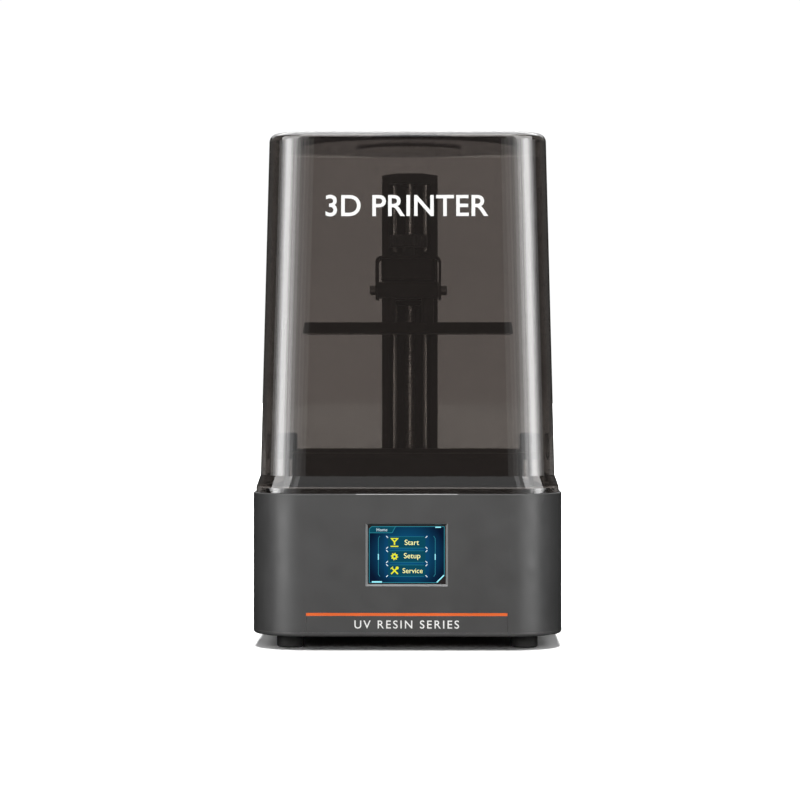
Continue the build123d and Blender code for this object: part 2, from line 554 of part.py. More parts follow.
with BuildPart() as fan_rotor:
    with Locations(Plane(origin=(FAN_X, HUB_BACK, FAN_Z), z_dir=(0, 1, 0))):
        Cylinder(HUB_R, HUB_H, align=(Align.CENTER, Align.CENTER, Align.MIN))
        Cylinder(FAN_PIN_R, HUB_LIFT, align=(Align.CENTER, Align.CENTER, Align.MAX))
        with PolarLocations(HUB_R + 6.8, BLADES):
            with Locations((0, 0, 5.2)):
                Box(BLADE_L, BLADE_T, BLADE_W, rotation=(BLADE_TURN, 0, 0))
    fillet(fan_rotor.faces().sort_by(Axis.Y)[-1].edges(), 1.0)
write(fan_rotor, "fan_rotor")

with BuildPart() as fan_screws:
    with BuildSketch(Plane.XZ.offset(-REAR)):
        with Locations((FAN_X, FAN_Z)):
            with GridLocations(FAN_SCREW_PITCH, FAN_SCREW_PITCH, 2, 2):
                Circle(M3_R)
    extrude(amount=WALL + FAN_T)
write(fan_screws, "fan_screws")

# ================================================================== motor, column and lead screw
with BuildPart() as motor_case:
    with BuildSketch(Plane.XY.offset(MOTOR_Z)):
        with Locations((0, SCREW_Y)):
            Rectangle(MOTOR_W, MOTOR_W)
    extrude(amount=BASE_TOP - MOTOR_Z)
    chamfer(motor_case.edges().filter_by(Axis.Z), MOTOR_CHAMFER)
    with BuildSketch(Plane.XY.offset(BASE_TOP)):
        with Locations((0, SCREW_Y)):
            Circle(MOTOR_PILOT_R)
    extrude(amount=2)
    with BuildSketch(Plane.XY.offset(MOTOR_Z + 3)):
        with Locations((0, SCREW_Y)):
            Circle(ROTOR_ROOM_R)
    extrude(amount=ROTOR_ROOM_H, mode=Mode.SUBTRACT)
    with BuildSketch(Plane.XY.offset(MOTOR_Z + 3 + ROTOR_ROOM_H)):
        with Locations((0, SCREW_Y)):
            Circle(THREAD_R + 0.8)
    extrude(amount=10, mode=Mode.SUBTRACT)
    with BuildSketch(Plane.XY.offset(BASE_TOP)):
        with Locations((0, SCREW_Y)):
            with GridLocations(MOTOR_SCREW_PITCH, MOTOR_SCREW_PITCH, 2, 2):
                Circle(M3_R + CLEAR)
    extrude(amount=-8, mode=Mode.SUBTRACT)
write(motor_case, "motor_case")

with BuildPart() as motor_rotor:
    with BuildSketch(Plane.XY.offset(MOTOR_Z + 5)):
        with Locations((0, SCREW_Y)):
            Circle(ROTOR_R)
            Circle(JOURNAL_R, mode=Mode.SUBTRACT)
    extrude(amount=ROTOR_H)
write(motor_rotor, "motor_rotor")

with BuildPart() as lead_screw:
    for low, high, radius in ((MOTOR_Z + 4, THREAD_LOW, JOURNAL_R), (THREAD_LOW, THREAD_HIGH, THREAD_R),
                              (THREAD_HIGH, SCREW_TOP, JOURNAL_R)):
        with BuildSketch(Plane.XY.offset(low)):
            with Locations((0, SCREW_Y)):
                Circle(radius)
        extrude(amount=high - low)
write(lead_screw, "lead_screw")

with BuildPart() as column_profile:
    with BuildSketch(Plane.XY.offset(DECK_TOP)):
        with Locations((0, COLUMN_FRONT)):
            Rectangle(COLUMN_W, COLUMN_BACK - COLUMN_FRONT, align=(Align.CENTER, Align.MIN))
        with Locations((0, COLUMN_FRONT + COLUMN_LIP_T)):
            Rectangle(COLUMN_W - 2 * COLUMN_WALL, COLUMN_BACK - COLUMN_FRONT - COLUMN_LIP_T - COLUMN_BACK_T,
                      align=(Align.CENTER, Align.MIN), mode=Mode.SUBTRACT)
        with Locations((0, COLUMN_FRONT)):
            Rectangle(COLUMN_GAP_W, 2 * COLUMN_LIP_T, mode=Mode.SUBTRACT)
        # screw channels in the rear corners and two stiffening ribs on the back wall
        with Locations((-CHANNEL_X, CHANNEL_Y), (CHANNEL_X, CHANNEL_Y)):
            Circle(CHANNEL_R)
            Circle(1.25, mode=Mode.SUBTRACT)
        with Locations((-RIB_X, COLUMN_BACK - COLUMN_BACK_T), (RIB_X, COLUMN_BACK - COLUMN_BACK_T)):
            Rectangle(1, 1.5, align=(Align.CENTER, Align.MAX))
    extrude(amount=COLUMN_TOP - DECK_TOP)
    with BuildSketch(Plane.XZ.offset(-COLUMN_BACK)):
        with Locations(*bracket_column_spots()):
            Circle(M3_R + CLEAR)
    extrude(amount=COLUMN_BACK_T, mode=Mode.SUBTRACT)
write(column_profile, "column_profile")

with BuildPart() as column_bracket:
    with BuildSketch(Plane(origin=(0, COLUMN_BACK, DECK_TOP), x_dir=(0, 1, 0), z_dir=(1, 0, 0))):
        with BuildLine():
            Polyline((0, 0), (BRACKET_FOOT, 0), (BRACKET_FOOT, BRACKET_WALL), (BRACKET_WALL, BRACKET_WALL),
                     (BRACKET_WALL, BRACKET_RISE), (0, BRACKET_RISE), close=True)
        make_face()
    extrude(amount=BRACKET_HALF_W, both=True)
    with BuildSketch(Plane.XY.offset(DECK_TOP)):
        with Locations((-BRACKET_DECK_X, BRACKET_DECK_Y), (BRACKET_DECK_X, BRACKET_DECK_Y)):
            Circle(M3_R + CLEAR)
    extrude(amount=BRACKET_WALL, mode=Mode.SUBTRACT)
    with BuildSketch(Plane.XZ.offset(-COLUMN_BACK)):
        with Locations(*bracket_column_spots()):
            Circle(M3_R + CLEAR)
    extrude(amount=-BRACKET_WALL, mode=Mode.SUBTRACT)
write(column_bracket, "column_bracket")

with BuildPart() as column_screws:
    for radius, length in ((M3_HEAD_R, M3_HEAD_H), (M3_R, -7)):
        with BuildSketch(Plane.XY.offset(DECK_TOP + BRACKET_WALL)):
            with Locations((-BRACKET_DECK_X, BRACKET_DECK_Y), (BRACKET_DECK_X, BRACKET_DECK_Y)):
                Circle(radius)
        extrude(amount=length)
    for radius, length in ((M3_HEAD_R, -M3_HEAD_H), (M3_R, 6)):
        with BuildSketch(Plane.XZ.offset(-COLUMN_BACK - BRACKET_WALL)):
            with Locations(*bracket_column_spots()):
                Circle(radius)
        extrude(amount=length)
write(column_screws, "column_screws")

with BuildPart() as column_cap:
    with BuildSketch(Plane.XZ.offset(-COLUMN_BACK)):
        with BuildLine():
            side, shoulder = COLUMN_W / 2, CAP_TOP - CAP_DROP
            Polyline((-side, COLUMN_TOP), (side, COLUMN_TOP), (side, shoulder), (CAP_FLAT, CAP_TOP),
                     (-CAP_FLAT, CAP_TOP), (-side, shoulder), close=True)
        make_face()
    extrude(amount=COLUMN_BACK - COLUMN_FRONT)
    fillet(column_cap.edges().filter_by(Axis.Z), 1.5)
    with BuildSketch(Plane.XY.offset(COLUMN_TOP)):
        with Locations((0, SCREW_Y)):
            Circle(BEARING_R)
    extrude(amount=BEARING_T + 1.4, mode=Mode.SUBTRACT)
    with BuildSketch(Plane.XY.offset(COLUMN_TOP)):
        with Locations((-ROD_X, SCREW_Y), (ROD_X, SCREW_Y)):
            Circle(ROD_R)
    extrude(amount=ROD_SEAT, mode=Mode.SUBTRACT)
write(column_cap, "column_cap")

with BuildPart() as top_bearing:
    with BuildSketch(Plane.XY.offset(COLUMN_TOP + 1)):
        with Locations((0, SCREW_Y)):
            Circle(BEARING_R)
            Circle(JOURNAL_R + 0.03, mode=Mode.SUBTRACT)
    extrude(amount=BEARING_T)
write(top_bearing, "top_bearing")

with BuildPart() as guide_rods:
    with BuildSketch(Plane.XY.offset(DECK_TOP)):
        with Locations((-ROD_X, SCREW_Y), (ROD_X, SCREW_Y)):
            Circle(ROD_R)
    extrude(amount=COLUMN_TOP + ROD_SEAT - DECK_TOP)
write(guide_rods, "guide_rods")

with BuildPart() as endstop_sensor:
    with BuildSketch(Plane.XY.offset(DECK_TOP + 4)):
        with Locations((0, SENSOR_Y)):
            Rectangle(SENSOR_W, SENSOR_D)
    extrude(amount=SENSOR_BASE_H)
    # two arms with the light beam between them
    with BuildSketch(Plane.XY.offset(DECK_TOP + 4 + SENSOR_BASE_H)):
        with Locations((-5, SENSOR_Y), (5, SENSOR_Y)):
            Rectangle(5, SENSOR_D)
    extrude(amount=SENSOR_ARM_H)
write(endstop_sensor, "endstop_sensor")

# ================================================================== carriage and arm
with BuildPart() as z_carriage:
    with BuildSketch(Plane.XY.offset(BLOCK_Z)):
        with Locations((0, COLUMN_FRONT + CARRIAGE_GAP)):
            Rectangle(CARRIAGE_W, CARRIAGE_D, align=(Align.CENTER, Align.MIN))
        with Locations((0, ARM_BACK)):
            Rectangle(COLUMN_GAP_W - 1, 8, align=(Align.CENTER, Align.MIN))
        with Locations((-ROD_X, SCREW_Y), (ROD_X, SCREW_Y)):
            Circle(BUSHING_R, mode=Mode.SUBTRACT)
        with Locations((0, SCREW_Y)):
            Circle(NUT_R + CLEAR, mode=Mode.SUBTRACT)
    extrude(amount=CARRIAGE_TOP - BLOCK_Z)
    with BuildSketch(Plane.XZ.offset(-ARM_BACK)):
        with Locations((0, ARM_BOLT_Z)):
            with GridLocations(ARM_BOLT_DX, ARM_BOLT_DZ, 2, 2):
                Circle(M4_R)
    extrude(amount=-9, mode=Mode.SUBTRACT)
    # blade that breaks the light beam of the end stop
    with BuildSketch(Plane.YZ):
        with Locations((75.9, 256)):
            Rectangle(5, 16, align=(Align.MIN, Align.MIN))
    extrude(amount=0.75, both=True)
write(z_carriage, "z_carriage")

with BuildPart() as linear_bearings:
    with BuildSketch(Plane.XY.offset(BLOCK_Z)):
        with Locations((-ROD_X, SCREW_Y), (ROD_X, SCREW_Y)):
            Circle(BUSHING_R)
            Circle(ROD_R + 0.04, mode=Mode.SUBTRACT)
    extrude(amount=CARRIAGE_TOP - BLOCK_Z)
write(linear_bearings, "linear_bearings")

with BuildPart() as lead_nut:
    with BuildSketch(Plane.XY.offset(BLOCK_Z - NUT_FLANGE_T)):
        with Locations((0, SCREW_Y)):
            RectangleRounded(17, 16, 3)
    extrude(amount=NUT_FLANGE_T)
    with BuildSketch(Plane.XY.offset(BLOCK_Z)):
        with Locations((0, SCREW_Y)):
            Circle(NUT_R)
    extrude(amount=NUT_LENGTH - NUT_FLANGE_T)
    with BuildSketch(Plane.XY.offset(BLOCK_Z - NUT_FLANGE_T)):
        with Locations((0, SCREW_Y)):
            Circle(THREAD_R + 0.06)
    extrude(amount=NUT_LENGTH, mode=Mode.SUBTRACT)
write(lead_nut, "lead_nut")

with BuildPart() as carriage_arm:
    with BuildSketch(Plane.XZ.offset(-ARM_BACK)):
        with Locations((0, BLOCK_Z)):
            Rectangle(FLANGE_W, CARRIAGE_TOP - BLOCK_Z, align=(Align.CENTER, Align.MIN))
    extrude(amount=FLANGE_T)
    with BuildSketch(Plane.XZ.offset(-ARM_BACK + FLANGE_T)):
        with Locations((0, ARM_Z)):
            Rectangle(ARM_W, ARM_TOP - ARM_Z, align=(Align.CENTER, Align.MIN))
    extrude(amount=ARM_BACK - FLANGE_T - ARM_FRONT)
    fillet(carriage_arm.faces().sort_by(Axis.Y)[0].edges().filter_by(Axis.Z), 3)
    # rib under the beam
    with BuildSketch(Plane.YZ):
        with BuildLine():
            rib_back, rib_front = ARM_BACK - FLANGE_T, 12
            Polyline((rib_back, ARM_Z), (rib_front, ARM_Z), (rib_back, BLOCK_Z + 1), close=True)
        make_face()
    extrude(amount=6, both=True)
    # clearance holes for the arm bolts, and the tapped hole for the knob
    with BuildSketch(Plane.XZ.offset(-ARM_BACK)):
        with Locations((0, ARM_BOLT_Z)):
            with GridLocations(ARM_BOLT_DX, ARM_BOLT_DZ, 2, 2):
                Circle(M4_R + CLEAR)
    extrude(amount=FLANGE_T, mode=Mode.SUBTRACT)
    with BuildSketch(Plane.XY.offset(ARM_TOP)):
        with Locations((0, WORK_Y)):
            Circle(3)
    extrude(amount=-14, mode=Mode.SUBTRACT)
write(carriage_arm, "carriage_arm")

with BuildPart() as arm_bolts:
    # head with its hexagon socket, closed at the bottom, and the shank
    for radius, socket_r, length in (
        (M4_HEAD_R, M4_HEX_R, M4_HEAD_H),
        (M4_HEAD_R, 0, 1.5),
        (M4_R - 0.05, 0, -16),
    ):
        with BuildSketch(Plane.XZ.offset(-ARM_BACK + FLANGE_T)):
            with Locations((0, ARM_BOLT_Z)):
                with GridLocations(ARM_BOLT_DX, ARM_BOLT_DZ, 2, 2):
                    Circle(radius)
                    if socket_r:
                        RegularPolygon(socket_r, 6, mode=Mode.SUBTRACT)
        extrude(amount=length)
write(arm_bolts, "arm_bolts")

# ================================================================== build platform
with BuildPart() as platform_bracket:
    with BuildSketch(Plane.XZ.offset(-WORK_Y)):
        with Locations((0, BRACKET_LOW)):
            Rectangle(BRACKET_W, BRACKET_TOP - BRACKET_LOW, align=(Align.CENTER, Align.MIN))
    extrude(amount=BRACKET_L / 2, both=True)
    fillet(platform_bracket.faces().sort_by(Axis.Z)[-1].edges().filter_by(Axis.Y), 4.5)
    with BuildSketch(Plane.XZ.offset(-WORK_Y)):
        with Locations((0, BRACKET_LOW)):
            Rectangle(BRACKET_W - 2 * BRACKET_T, BRACKET_TOP - BRACKET_T - BRACKET_LOW,
                      align=(Align.CENTER, Align.MIN))
        fillet(vertices().group_by(Axis.Y)[-1], 2.7)
    extrude(amount=BRACKET_L / 2, both=True, mode=Mode.SUBTRACT)
    # slot for the knob's stud, open at the back, so that the platform slides off forwards
    stud_slot_r = 3.3
    with BuildSketch(Plane.XY.offset(BRACKET_TOP)):
        with Locations((0, WORK_Y)):
            Circle(stud_slot_r)
            Rectangle(2 * stud_slot_r, BRACKET_L, align=(Align.CENTER, Align.MIN))
    extrude(amount=-BRACKET_T, mode=Mode.SUBTRACT)
    # upright slots for the levelling screws
    with BuildSketch(Plane.YZ):
        with Locations((WORK_Y, BLOCK_Z + 6.75)):
            with GridLocations(2 * LEVEL_SCREW_DY, 1, 2, 1):
                SlotOverall(6.2, 4.4, rotation=90)
    extrude(amount=BRACKET_W, both=True, mode=Mode.SUBTRACT)
write(platform_bracket, "platform_bracket")

with BuildPart() as platform_knob:
    with BuildSketch(Plane.XY.offset(KNOB_LOW)):
        with Locations((0, WORK_Y)):
            Circle(KNOB_R)
            with PolarLocations(KNOB_R + 2, KNOB_LOBES):
                Circle(3.2, mode=Mode.SUBTRACT)
    extrude(amount=KNOB_HIGH - KNOB_LOW)
    chamfer(platform_knob.faces().sort_by(Axis.Z)[-1].edges(), 0.8)
    # stem, collar and the threaded stud
    for low, high, radius in ((BRACKET_TOP, KNOB_LOW, 4.8), (BRACKET_TOP, BRACKET_TOP + 1.6, 7.5),
                              (KNOB_STUD_LOW, BRACKET_TOP, KNOB_STUD_R)):
        with BuildSketch(Plane.XY.offset(low)):
            with Locations((0, WORK_Y)):
                Circle(radius)
        extrude(amount=high - low)
write(platform_knob, "platform_knob")

with BuildPart() as levelling_block:
    with BuildSketch(Plane.XY.offset(BLOCK_Z)):
        with Locations((0, WORK_Y)):
            Rectangle(BRACKET_W - 2 * BRACKET_T - 0.4, BRACKET_L - 3)
    extrude(amount=BLOCK_T)
    with Locations((0, WORK_Y, BLOCK_Z + BLOCK_T)):
        with GridLocations(2 * POST_X, 2 * POST_DY, 2, 2):
            CounterBoreHole(M4_R + CLEAR, BORE_R, BORE_H)
    for sx in (-1, 1):
        with BuildSketch(Plane.YZ.offset(sx * LEVEL_SCREW_START)):
            with Locations((WORK_Y, BLOCK_Z + LEVEL_SCREW_Z)):
                with GridLocations(2 * LEVEL_SCREW_DY, 1, 2, 1):
                    Circle(M4_R)
        extrude(amount=sx * BRACKET_W, mode=Mode.SUBTRACT)
write(levelling_block, "levelling_block")

with BuildPart() as plate_posts:
    with BuildSketch(Plane.XY.offset(PLATE_Z + PLATE_T)):
        with Locations((0, WORK_Y)):
            with GridLocations(2 * POST_X, 2 * POST_DY, 2, 2):
                Circle(POST_R)
                Circle(M4_R + CLEAR, mode=Mode.SUBTRACT)
    extrude(amount=BLOCK_Z - PLATE_Z - PLATE_T)
write(plate_posts, "plate_posts")

with BuildPart() as plate_screws:
    head_z, tip_z = BLOCK_Z + BLOCK_T - BORE_H, PLATE_Z + 3.4
    for radius, length in ((M4_HEAD_R, M4_HEAD_H), (M4_R, tip_z - head_z)):
        with BuildSketch(Plane.XY.offset(head_z)):
            with Locations((0, WORK_Y)):
                with GridLocations(2 * POST_X, 2 * POST_DY, 2, 2):
                    Circle(radius)
        extrude(amount=length)
write(plate_screws, "plate_screws")

with BuildPart() as build_plate:
    with BuildSketch(Plane.XY.offset(PLATE_Z)):
        with Locations((0, WORK_Y)):
            RectangleRounded(PLATE_W, PLATE_D, 3)
    extrude(amount=PLATE_T, taper=10)
    with BuildSketch(Plane.XY.offset(PLATE_Z + PLATE_T)):
        with Locations((0, WORK_Y)):
            with GridLocations(2 * POST_X, 2 * POST_DY, 2, 2):
                Circle(M4_R)
    extrude(amount=-5, mode=Mode.SUBTRACT)
write(build_plate, "build_plate")

for side, sx in (("left", -1), ("right", 1)):
    for end, dy in (("front", -LEVEL_SCREW_DY), ("rear", LEVEL_SCREW_DY)):
        with BuildPart() as level_screw:
            shank = (LEVEL_SCREW_START + 0.2, BRACKET_W / 2 - LEVEL_SCREW_START - 0.2, M4_R - 0.05)
            height = BLOCK_Z + LEVEL_SCREW_Z
            for start, length, radius in (shank, (BRACKET_W / 2, LEVEL_HEAD_H, M4_HEAD_R)):
                with BuildSketch(Plane(origin=(sx * start, WORK_Y + dy, height), z_dir=(sx, 0, 0))):
                    Circle(radius)
                extrude(amount=length)
            fillet(level_screw.faces().sort_by(Axis.X)[-1 if sx > 0 else 0].edges(), 0.8)
            head_end = sx * (BRACKET_W / 2 + LEVEL_HEAD_H)
            with BuildSketch(Plane(origin=(head_end, WORK_Y + dy, height), z_dir=(-sx, 0, 0))):
                RegularPolygon(1.9, 6)
            extrude(amount=2.4, mode=Mode.SUBTRACT)
        write(level_screw, f"level_screw_{end}_{side}")

# ================================================================== vat
with BuildPart() as vat_body:
    with BuildSketch(Plane.XY.offset(VAT_Z)):
        with Locations((0, WORK_Y)):
            RectangleRounded(VAT_W, VAT_D, VAT_R)
    extrude(amount=VAT_TOP - VAT_Z)
    with BuildSketch(Plane.XY.offset(VAT_TOP - VAT_RIM_H)):
        with Locations((0, WORK_Y)):
            RectangleRounded(VAT_W + VAT_RIM_W, VAT_D + VAT_RIM_D, VAT_R + 3)
    extrude(amount=VAT_RIM_H)
    # ears for the thumb screws
    with BuildSketch(Plane.XY.offset(VAT_TOP - EAR_T)):
        with Locations((0, WORK_Y)):
            RectangleRounded(EAR_REACH, EAR_D, EAR_R)
    extrude(amount=EAR_T)
    # basin with leaning walls, wider at the top
    with BuildSketch(Plane.XY.offset(VAT_Z)):
        with Locations((0, WORK_Y)):
            RectangleRounded(*BASIN_LOW, 6)
    with BuildSketch(Plane.XY.offset(VAT_TOP)):
        with Locations((0, WORK_Y)):
            RectangleRounded(*BASIN_HIGH, 10)
    loft(mode=Mode.SUBTRACT)
    with BuildSketch(Plane.XY.offset(VAT_TOP)):
        with Locations((-THUMB_X, WORK_Y), (THUMB_X, WORK_Y)):
            Circle(THUMB_SHANK_R + 0.3)
    extrude(amount=-7, mode=Mode.SUBTRACT)
    with BuildSketch(Plane.XY.offset(VAT_Z)):
        with Locations((0, WORK_Y)):
            with Locations(*film_screw_spots()):
                Circle(FILM_SCREW_R)
    extrude(amount=6, mode=Mode.SUBTRACT)
write(vat_body, "vat_body")


def film_ring(z, thickness, outer, inner, hole_r):
    """A flat ring or sheet round the centre of the vat, with a hole for each film screw."""
    with BuildPart() as ring:
        with BuildSketch(Plane.XY.offset(z)):
            with Locations((0, WORK_Y)):
                RectangleRounded(*outer, VAT_R)
                if inner:
                    RectangleRounded(*inner, 4, mode=Mode.SUBTRACT)
                with Locations(*film_screw_spots()):
                    Circle(hole_r, mode=Mode.SUBTRACT)
        extrude(amount=thickness)
    return ring


FRAME_Z = FILM_Z + FILM_T
HOLE_R = FILM_SCREW_R + CLEAR
write(film_ring(FRAME_Z, VAT_Z - FRAME_Z, (VAT_W, VAT_D), BASIN_LOW, HOLE_R), "film_upper_frame")
write(film_ring(FILM_Z, FILM_T, (VAT_W, VAT_D), None, HOLE_R), "vat_film")
write(film_ring(FILM_Z - FILM_RING_T, FILM_RING_T, (VAT_W, VAT_D), (168, 102), FILM_HEAD_R + CLEAR),
      "film_clamp_ring")

with BuildPart() as film_screws:
    for low, radius, length in ((FILM_Z - FILM_RING_T, FILM_HEAD_R, FILM_HEAD_H), (FILM_Z, FILM_SCREW_R, 8)):
        with BuildSketch(Plane.XY.offset(low)):
            with Locations((0, WORK_Y)):
                with Locations(*film_screw_spots()):
                    Circle(radius)
        extrude(amount=length)
write(film_screws, "film_screws")

for side, sx in (("left", -1), ("right", 1)):
    with BuildPart() as thumb_screw:
        with BuildSketch(Plane.XY.offset(VAT_TOP + 0.2)):
            with Locations((sx * THUMB_X, WORK_Y)):
                Circle(THUMB_R)
                with PolarLocations(THUMB_R + 1.2, THUMB_NOTCHES):
                    Circle(2, mode=Mode.SUBTRACT)
        extrude(amount=THUMB_TOP - VAT_TOP - 0.2)
        chamfer(thumb_screw.faces().sort_by(Axis.Z)[-1].edges(), 1.2)
        with BuildSketch(Plane.XY.offset(VAT_TOP + 0.2)):
            with Locations((sx * THUMB_X, WORK_Y)):
                Circle(THUMB_SHANK_R)
        extrude(amount=THUMB_LOW - VAT_TOP - 0.2)
    write(thumb_screw, f"thumb_screw_{side}")


# ================================================================== lid
def lid_section(z, inset, shrink):
    """The lid's outline at a height, moved in from the outline of its rim."""
    move = LID_INSET + inset + shrink
    with BuildSketch(Plane.XY.offset(z)) as outline:
        RectangleRounded(WIDTH - 2 * move, DEPTH - 2 * move, LID_CORNER_R - shrink)
    return outline.sketch


def lid_body(top, shrink):
    """The three stacked sections of the lid up to a height, shrunk by the wall or not at all."""
    sections = [(BASE_TOP, 0), (SKIRT_LOW, 0), (SKIRT_HIGH, LID_SKIRT_IN), (top, LID_SKIRT_IN + LID_TAPER_IN)]
    with BuildPart() as body:
        for (low, low_in), (high, high_in) in zip(sections, sections[1:]):
            loft([lid_section(low, low_in, shrink), lid_section(high, high_in, shrink)])
    return body.part


with BuildPart() as lid_shell:
    add(lid_body(HEIGHT, 0))
    fillet(lid_shell.faces().sort_by(Axis.Z)[-1].edges(), LID_TOP_FILLET)
    add(lid_body(HEIGHT - WALL, WALL), mode=Mode.SUBTRACT)
    # the top is dished in two round steps of even thickness
    for radius, drop in ((DISH_R, DISH_STEP), (INNER_DISH_R, DISH_STEP + INNER_DISH_STEP)):
        with BuildSketch(Plane.XY.offset(HEIGHT - WALL - drop)):
            Circle(radius + WALL)
        extrude(amount=WALL)
        with BuildSketch(Plane.XY.offset(HEIGHT - drop)):
            Circle(radius)
        extrude(amount=drop, mode=Mode.SUBTRACT)
write(lid_shell, "lid_shell")
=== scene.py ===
import json
import math

import bmesh
import bpy
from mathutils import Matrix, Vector


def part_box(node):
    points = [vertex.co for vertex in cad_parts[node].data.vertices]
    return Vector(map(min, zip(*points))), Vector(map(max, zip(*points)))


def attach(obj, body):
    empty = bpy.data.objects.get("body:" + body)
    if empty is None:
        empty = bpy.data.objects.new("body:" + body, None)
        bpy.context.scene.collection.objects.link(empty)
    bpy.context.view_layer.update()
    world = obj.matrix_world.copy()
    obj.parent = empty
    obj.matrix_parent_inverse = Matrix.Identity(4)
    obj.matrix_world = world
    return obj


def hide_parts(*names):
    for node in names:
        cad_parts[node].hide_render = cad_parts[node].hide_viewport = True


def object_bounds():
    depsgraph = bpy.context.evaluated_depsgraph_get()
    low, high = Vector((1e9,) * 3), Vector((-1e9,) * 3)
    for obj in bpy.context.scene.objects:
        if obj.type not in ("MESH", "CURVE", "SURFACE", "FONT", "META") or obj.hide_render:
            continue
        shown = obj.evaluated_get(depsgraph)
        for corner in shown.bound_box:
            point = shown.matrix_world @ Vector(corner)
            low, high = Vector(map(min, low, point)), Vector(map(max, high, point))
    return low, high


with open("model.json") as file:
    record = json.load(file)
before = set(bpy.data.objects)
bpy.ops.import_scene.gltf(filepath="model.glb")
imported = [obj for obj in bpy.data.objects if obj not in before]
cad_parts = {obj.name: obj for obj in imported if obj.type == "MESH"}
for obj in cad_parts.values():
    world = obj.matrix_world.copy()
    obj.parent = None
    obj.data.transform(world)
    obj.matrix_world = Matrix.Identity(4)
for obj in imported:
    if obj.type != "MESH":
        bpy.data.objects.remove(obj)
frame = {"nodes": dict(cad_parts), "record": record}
cad_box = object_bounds()
nodes = frame["nodes"]

MM = 0.001
WHITE = (1.0, 1.0, 1.0)
NOISE_RANGE = (0.3, 0.7)  # a noise value rarely leaves this range

# Noise scales. Features are about 1 / scale metres apart.
DRIFT = 28  # slow change of colour over a moulded or painted surface
PATCHES = 160  # where an edge is worn and where it isn't
GLOSS = 75  # uneven gloss
SMEARS = 22  # uneven gloss of glass
CLOUDS = 9  # uneven tint of glass
BACKLIGHT = 90  # uneven light of the screen
TARNISH = 60  # uneven tone of turned metal
SHEET = 24  # uneven tone of sanded metal
SANDING = 900  # sanding marks
PAPER = 3  # uneven tone of the studio floor


# ---------------------------------------------------------------- colours and shader nodes
def srgb(code):
    """A colour from its six-digit sRGB code, in linear light."""
    parts = [int(code[i:i + 2], 16) / 255 for i in (0, 2, 4)]
    linear = [c / 12.92 if c <= 0.04045 else ((c + 0.055) / 1.055) ** 2.4 for c in parts]
    return (*linear, 1.0)


def scaled(colour, factor):
    """The same colour, lighter or darker."""
    return (*[min(c * factor, 1.0) for c in colour[:3]], 1.0)


def grey(level):
    """A neutral colour, in linear light."""
    return (level, level, level, 1.0)


def new_material(name):
    """A node material, with its tree and its Principled shader."""
    material = bpy.data.materials.new(name)
    material.use_nodes = True
    tree = material.node_tree
    return material, tree, tree.nodes["Principled BSDF"]


def object_place(tree):
    """Where a point lies in the object's own coordinates."""
    return tree.nodes.new("ShaderNodeTexCoord").outputs["Object"]


def true_normal(tree):
    """The way the face itself points, before any rounding of its look."""
    return tree.nodes.new("ShaderNodeNewGeometry").outputs["True Normal"]


def ray(tree, fact):
    """One fact about the ray that meets the surface."""
    return tree.nodes.new("ShaderNodeLightPath").outputs[fact]


def axes(tree, vector):
    """The X, Y and Z outputs of a vector."""
    parts = tree.nodes.new("ShaderNodeSeparateXYZ")
    tree.links.new(vector, parts.inputs[0])
    return parts.outputs


def maths(tree, operation, first, second=None):
    """One operation on one or two values."""
    node = tree.nodes.new("ShaderNodeMath")
    node.operation = operation
    tree.links.new(first, node.inputs[0])
    if second is not None:
        tree.links.new(second, node.inputs[1])
    return node.outputs["Value"]


def noise(tree, scale, detail, stretch=None):
    """A noise pattern over the object's own coordinates."""
    source = object_place(tree)
    texture = tree.nodes.new("ShaderNodeTexNoise")
    texture.inputs["Scale"].default_value = scale
    texture.inputs["Detail"].default_value = detail
    if stretch:
        mapping = tree.nodes.new("ShaderNodeMapping")
        mapping.inputs["Scale"].default_value = stretch
        tree.links.new(source, mapping.inputs["Vector"])
        source = mapping.outputs["Vector"]
    tree.links.new(source, texture.inputs["Vector"])
    return texture.outputs["Fac"]


def remap(tree, value, low, high, from_low=NOISE_RANGE[0], from_high=NOISE_RANGE[1]):
    """Moves a value, by default a noise, into the range from low to high."""
    node = tree.nodes.new("ShaderNodeMapRange")
    node.inputs["From Min"].default_value = from_low
    node.inputs["From Max"].default_value = from_high
    node.inputs["To Min"].default_value = low
    node.inputs["To Max"].default_value = high
    tree.links.new(value, node.inputs["Value"])
    return node.outputs["Result"]


def blend_colours(tree, factor, first, second):
    """From the first colour at 0 to the second at 1. Each is a constant or a socket."""
    node = tree.nodes.new("ShaderNodeMix")
    node.data_type = "RGBA"
    tree.links.new(factor, node.inputs["Factor"])
    for socket, colour in ((node.inputs["A"], first), (node.inputs["B"], second)):
        if isinstance(colour, tuple):
            socket.default_value = colour
        else:
            tree.links.new(colour, socket)
    return node.outputs["Result"]


def blend_shaders(tree, factor, first, second):
    """The first shader at 0, the second at 1."""
    mix = tree.nodes.new("ShaderNodeMixShader")
    tree.links.new(factor, mix.inputs["Fac"])
    tree.links.new(first, mix.inputs[1])
    tree.links.new(second, mix.inputs[2])
    return mix.outputs["Shader"]


def edge_rounding(tree, radius):
    """The normal of the surface as if its sharp edges were rounded."""
    bevel = tree.nodes.new("ShaderNodeBevel")
    bevel.samples = 4
    bevel.inputs["Radius"].default_value = radius
    return bevel.outputs["Normal"]


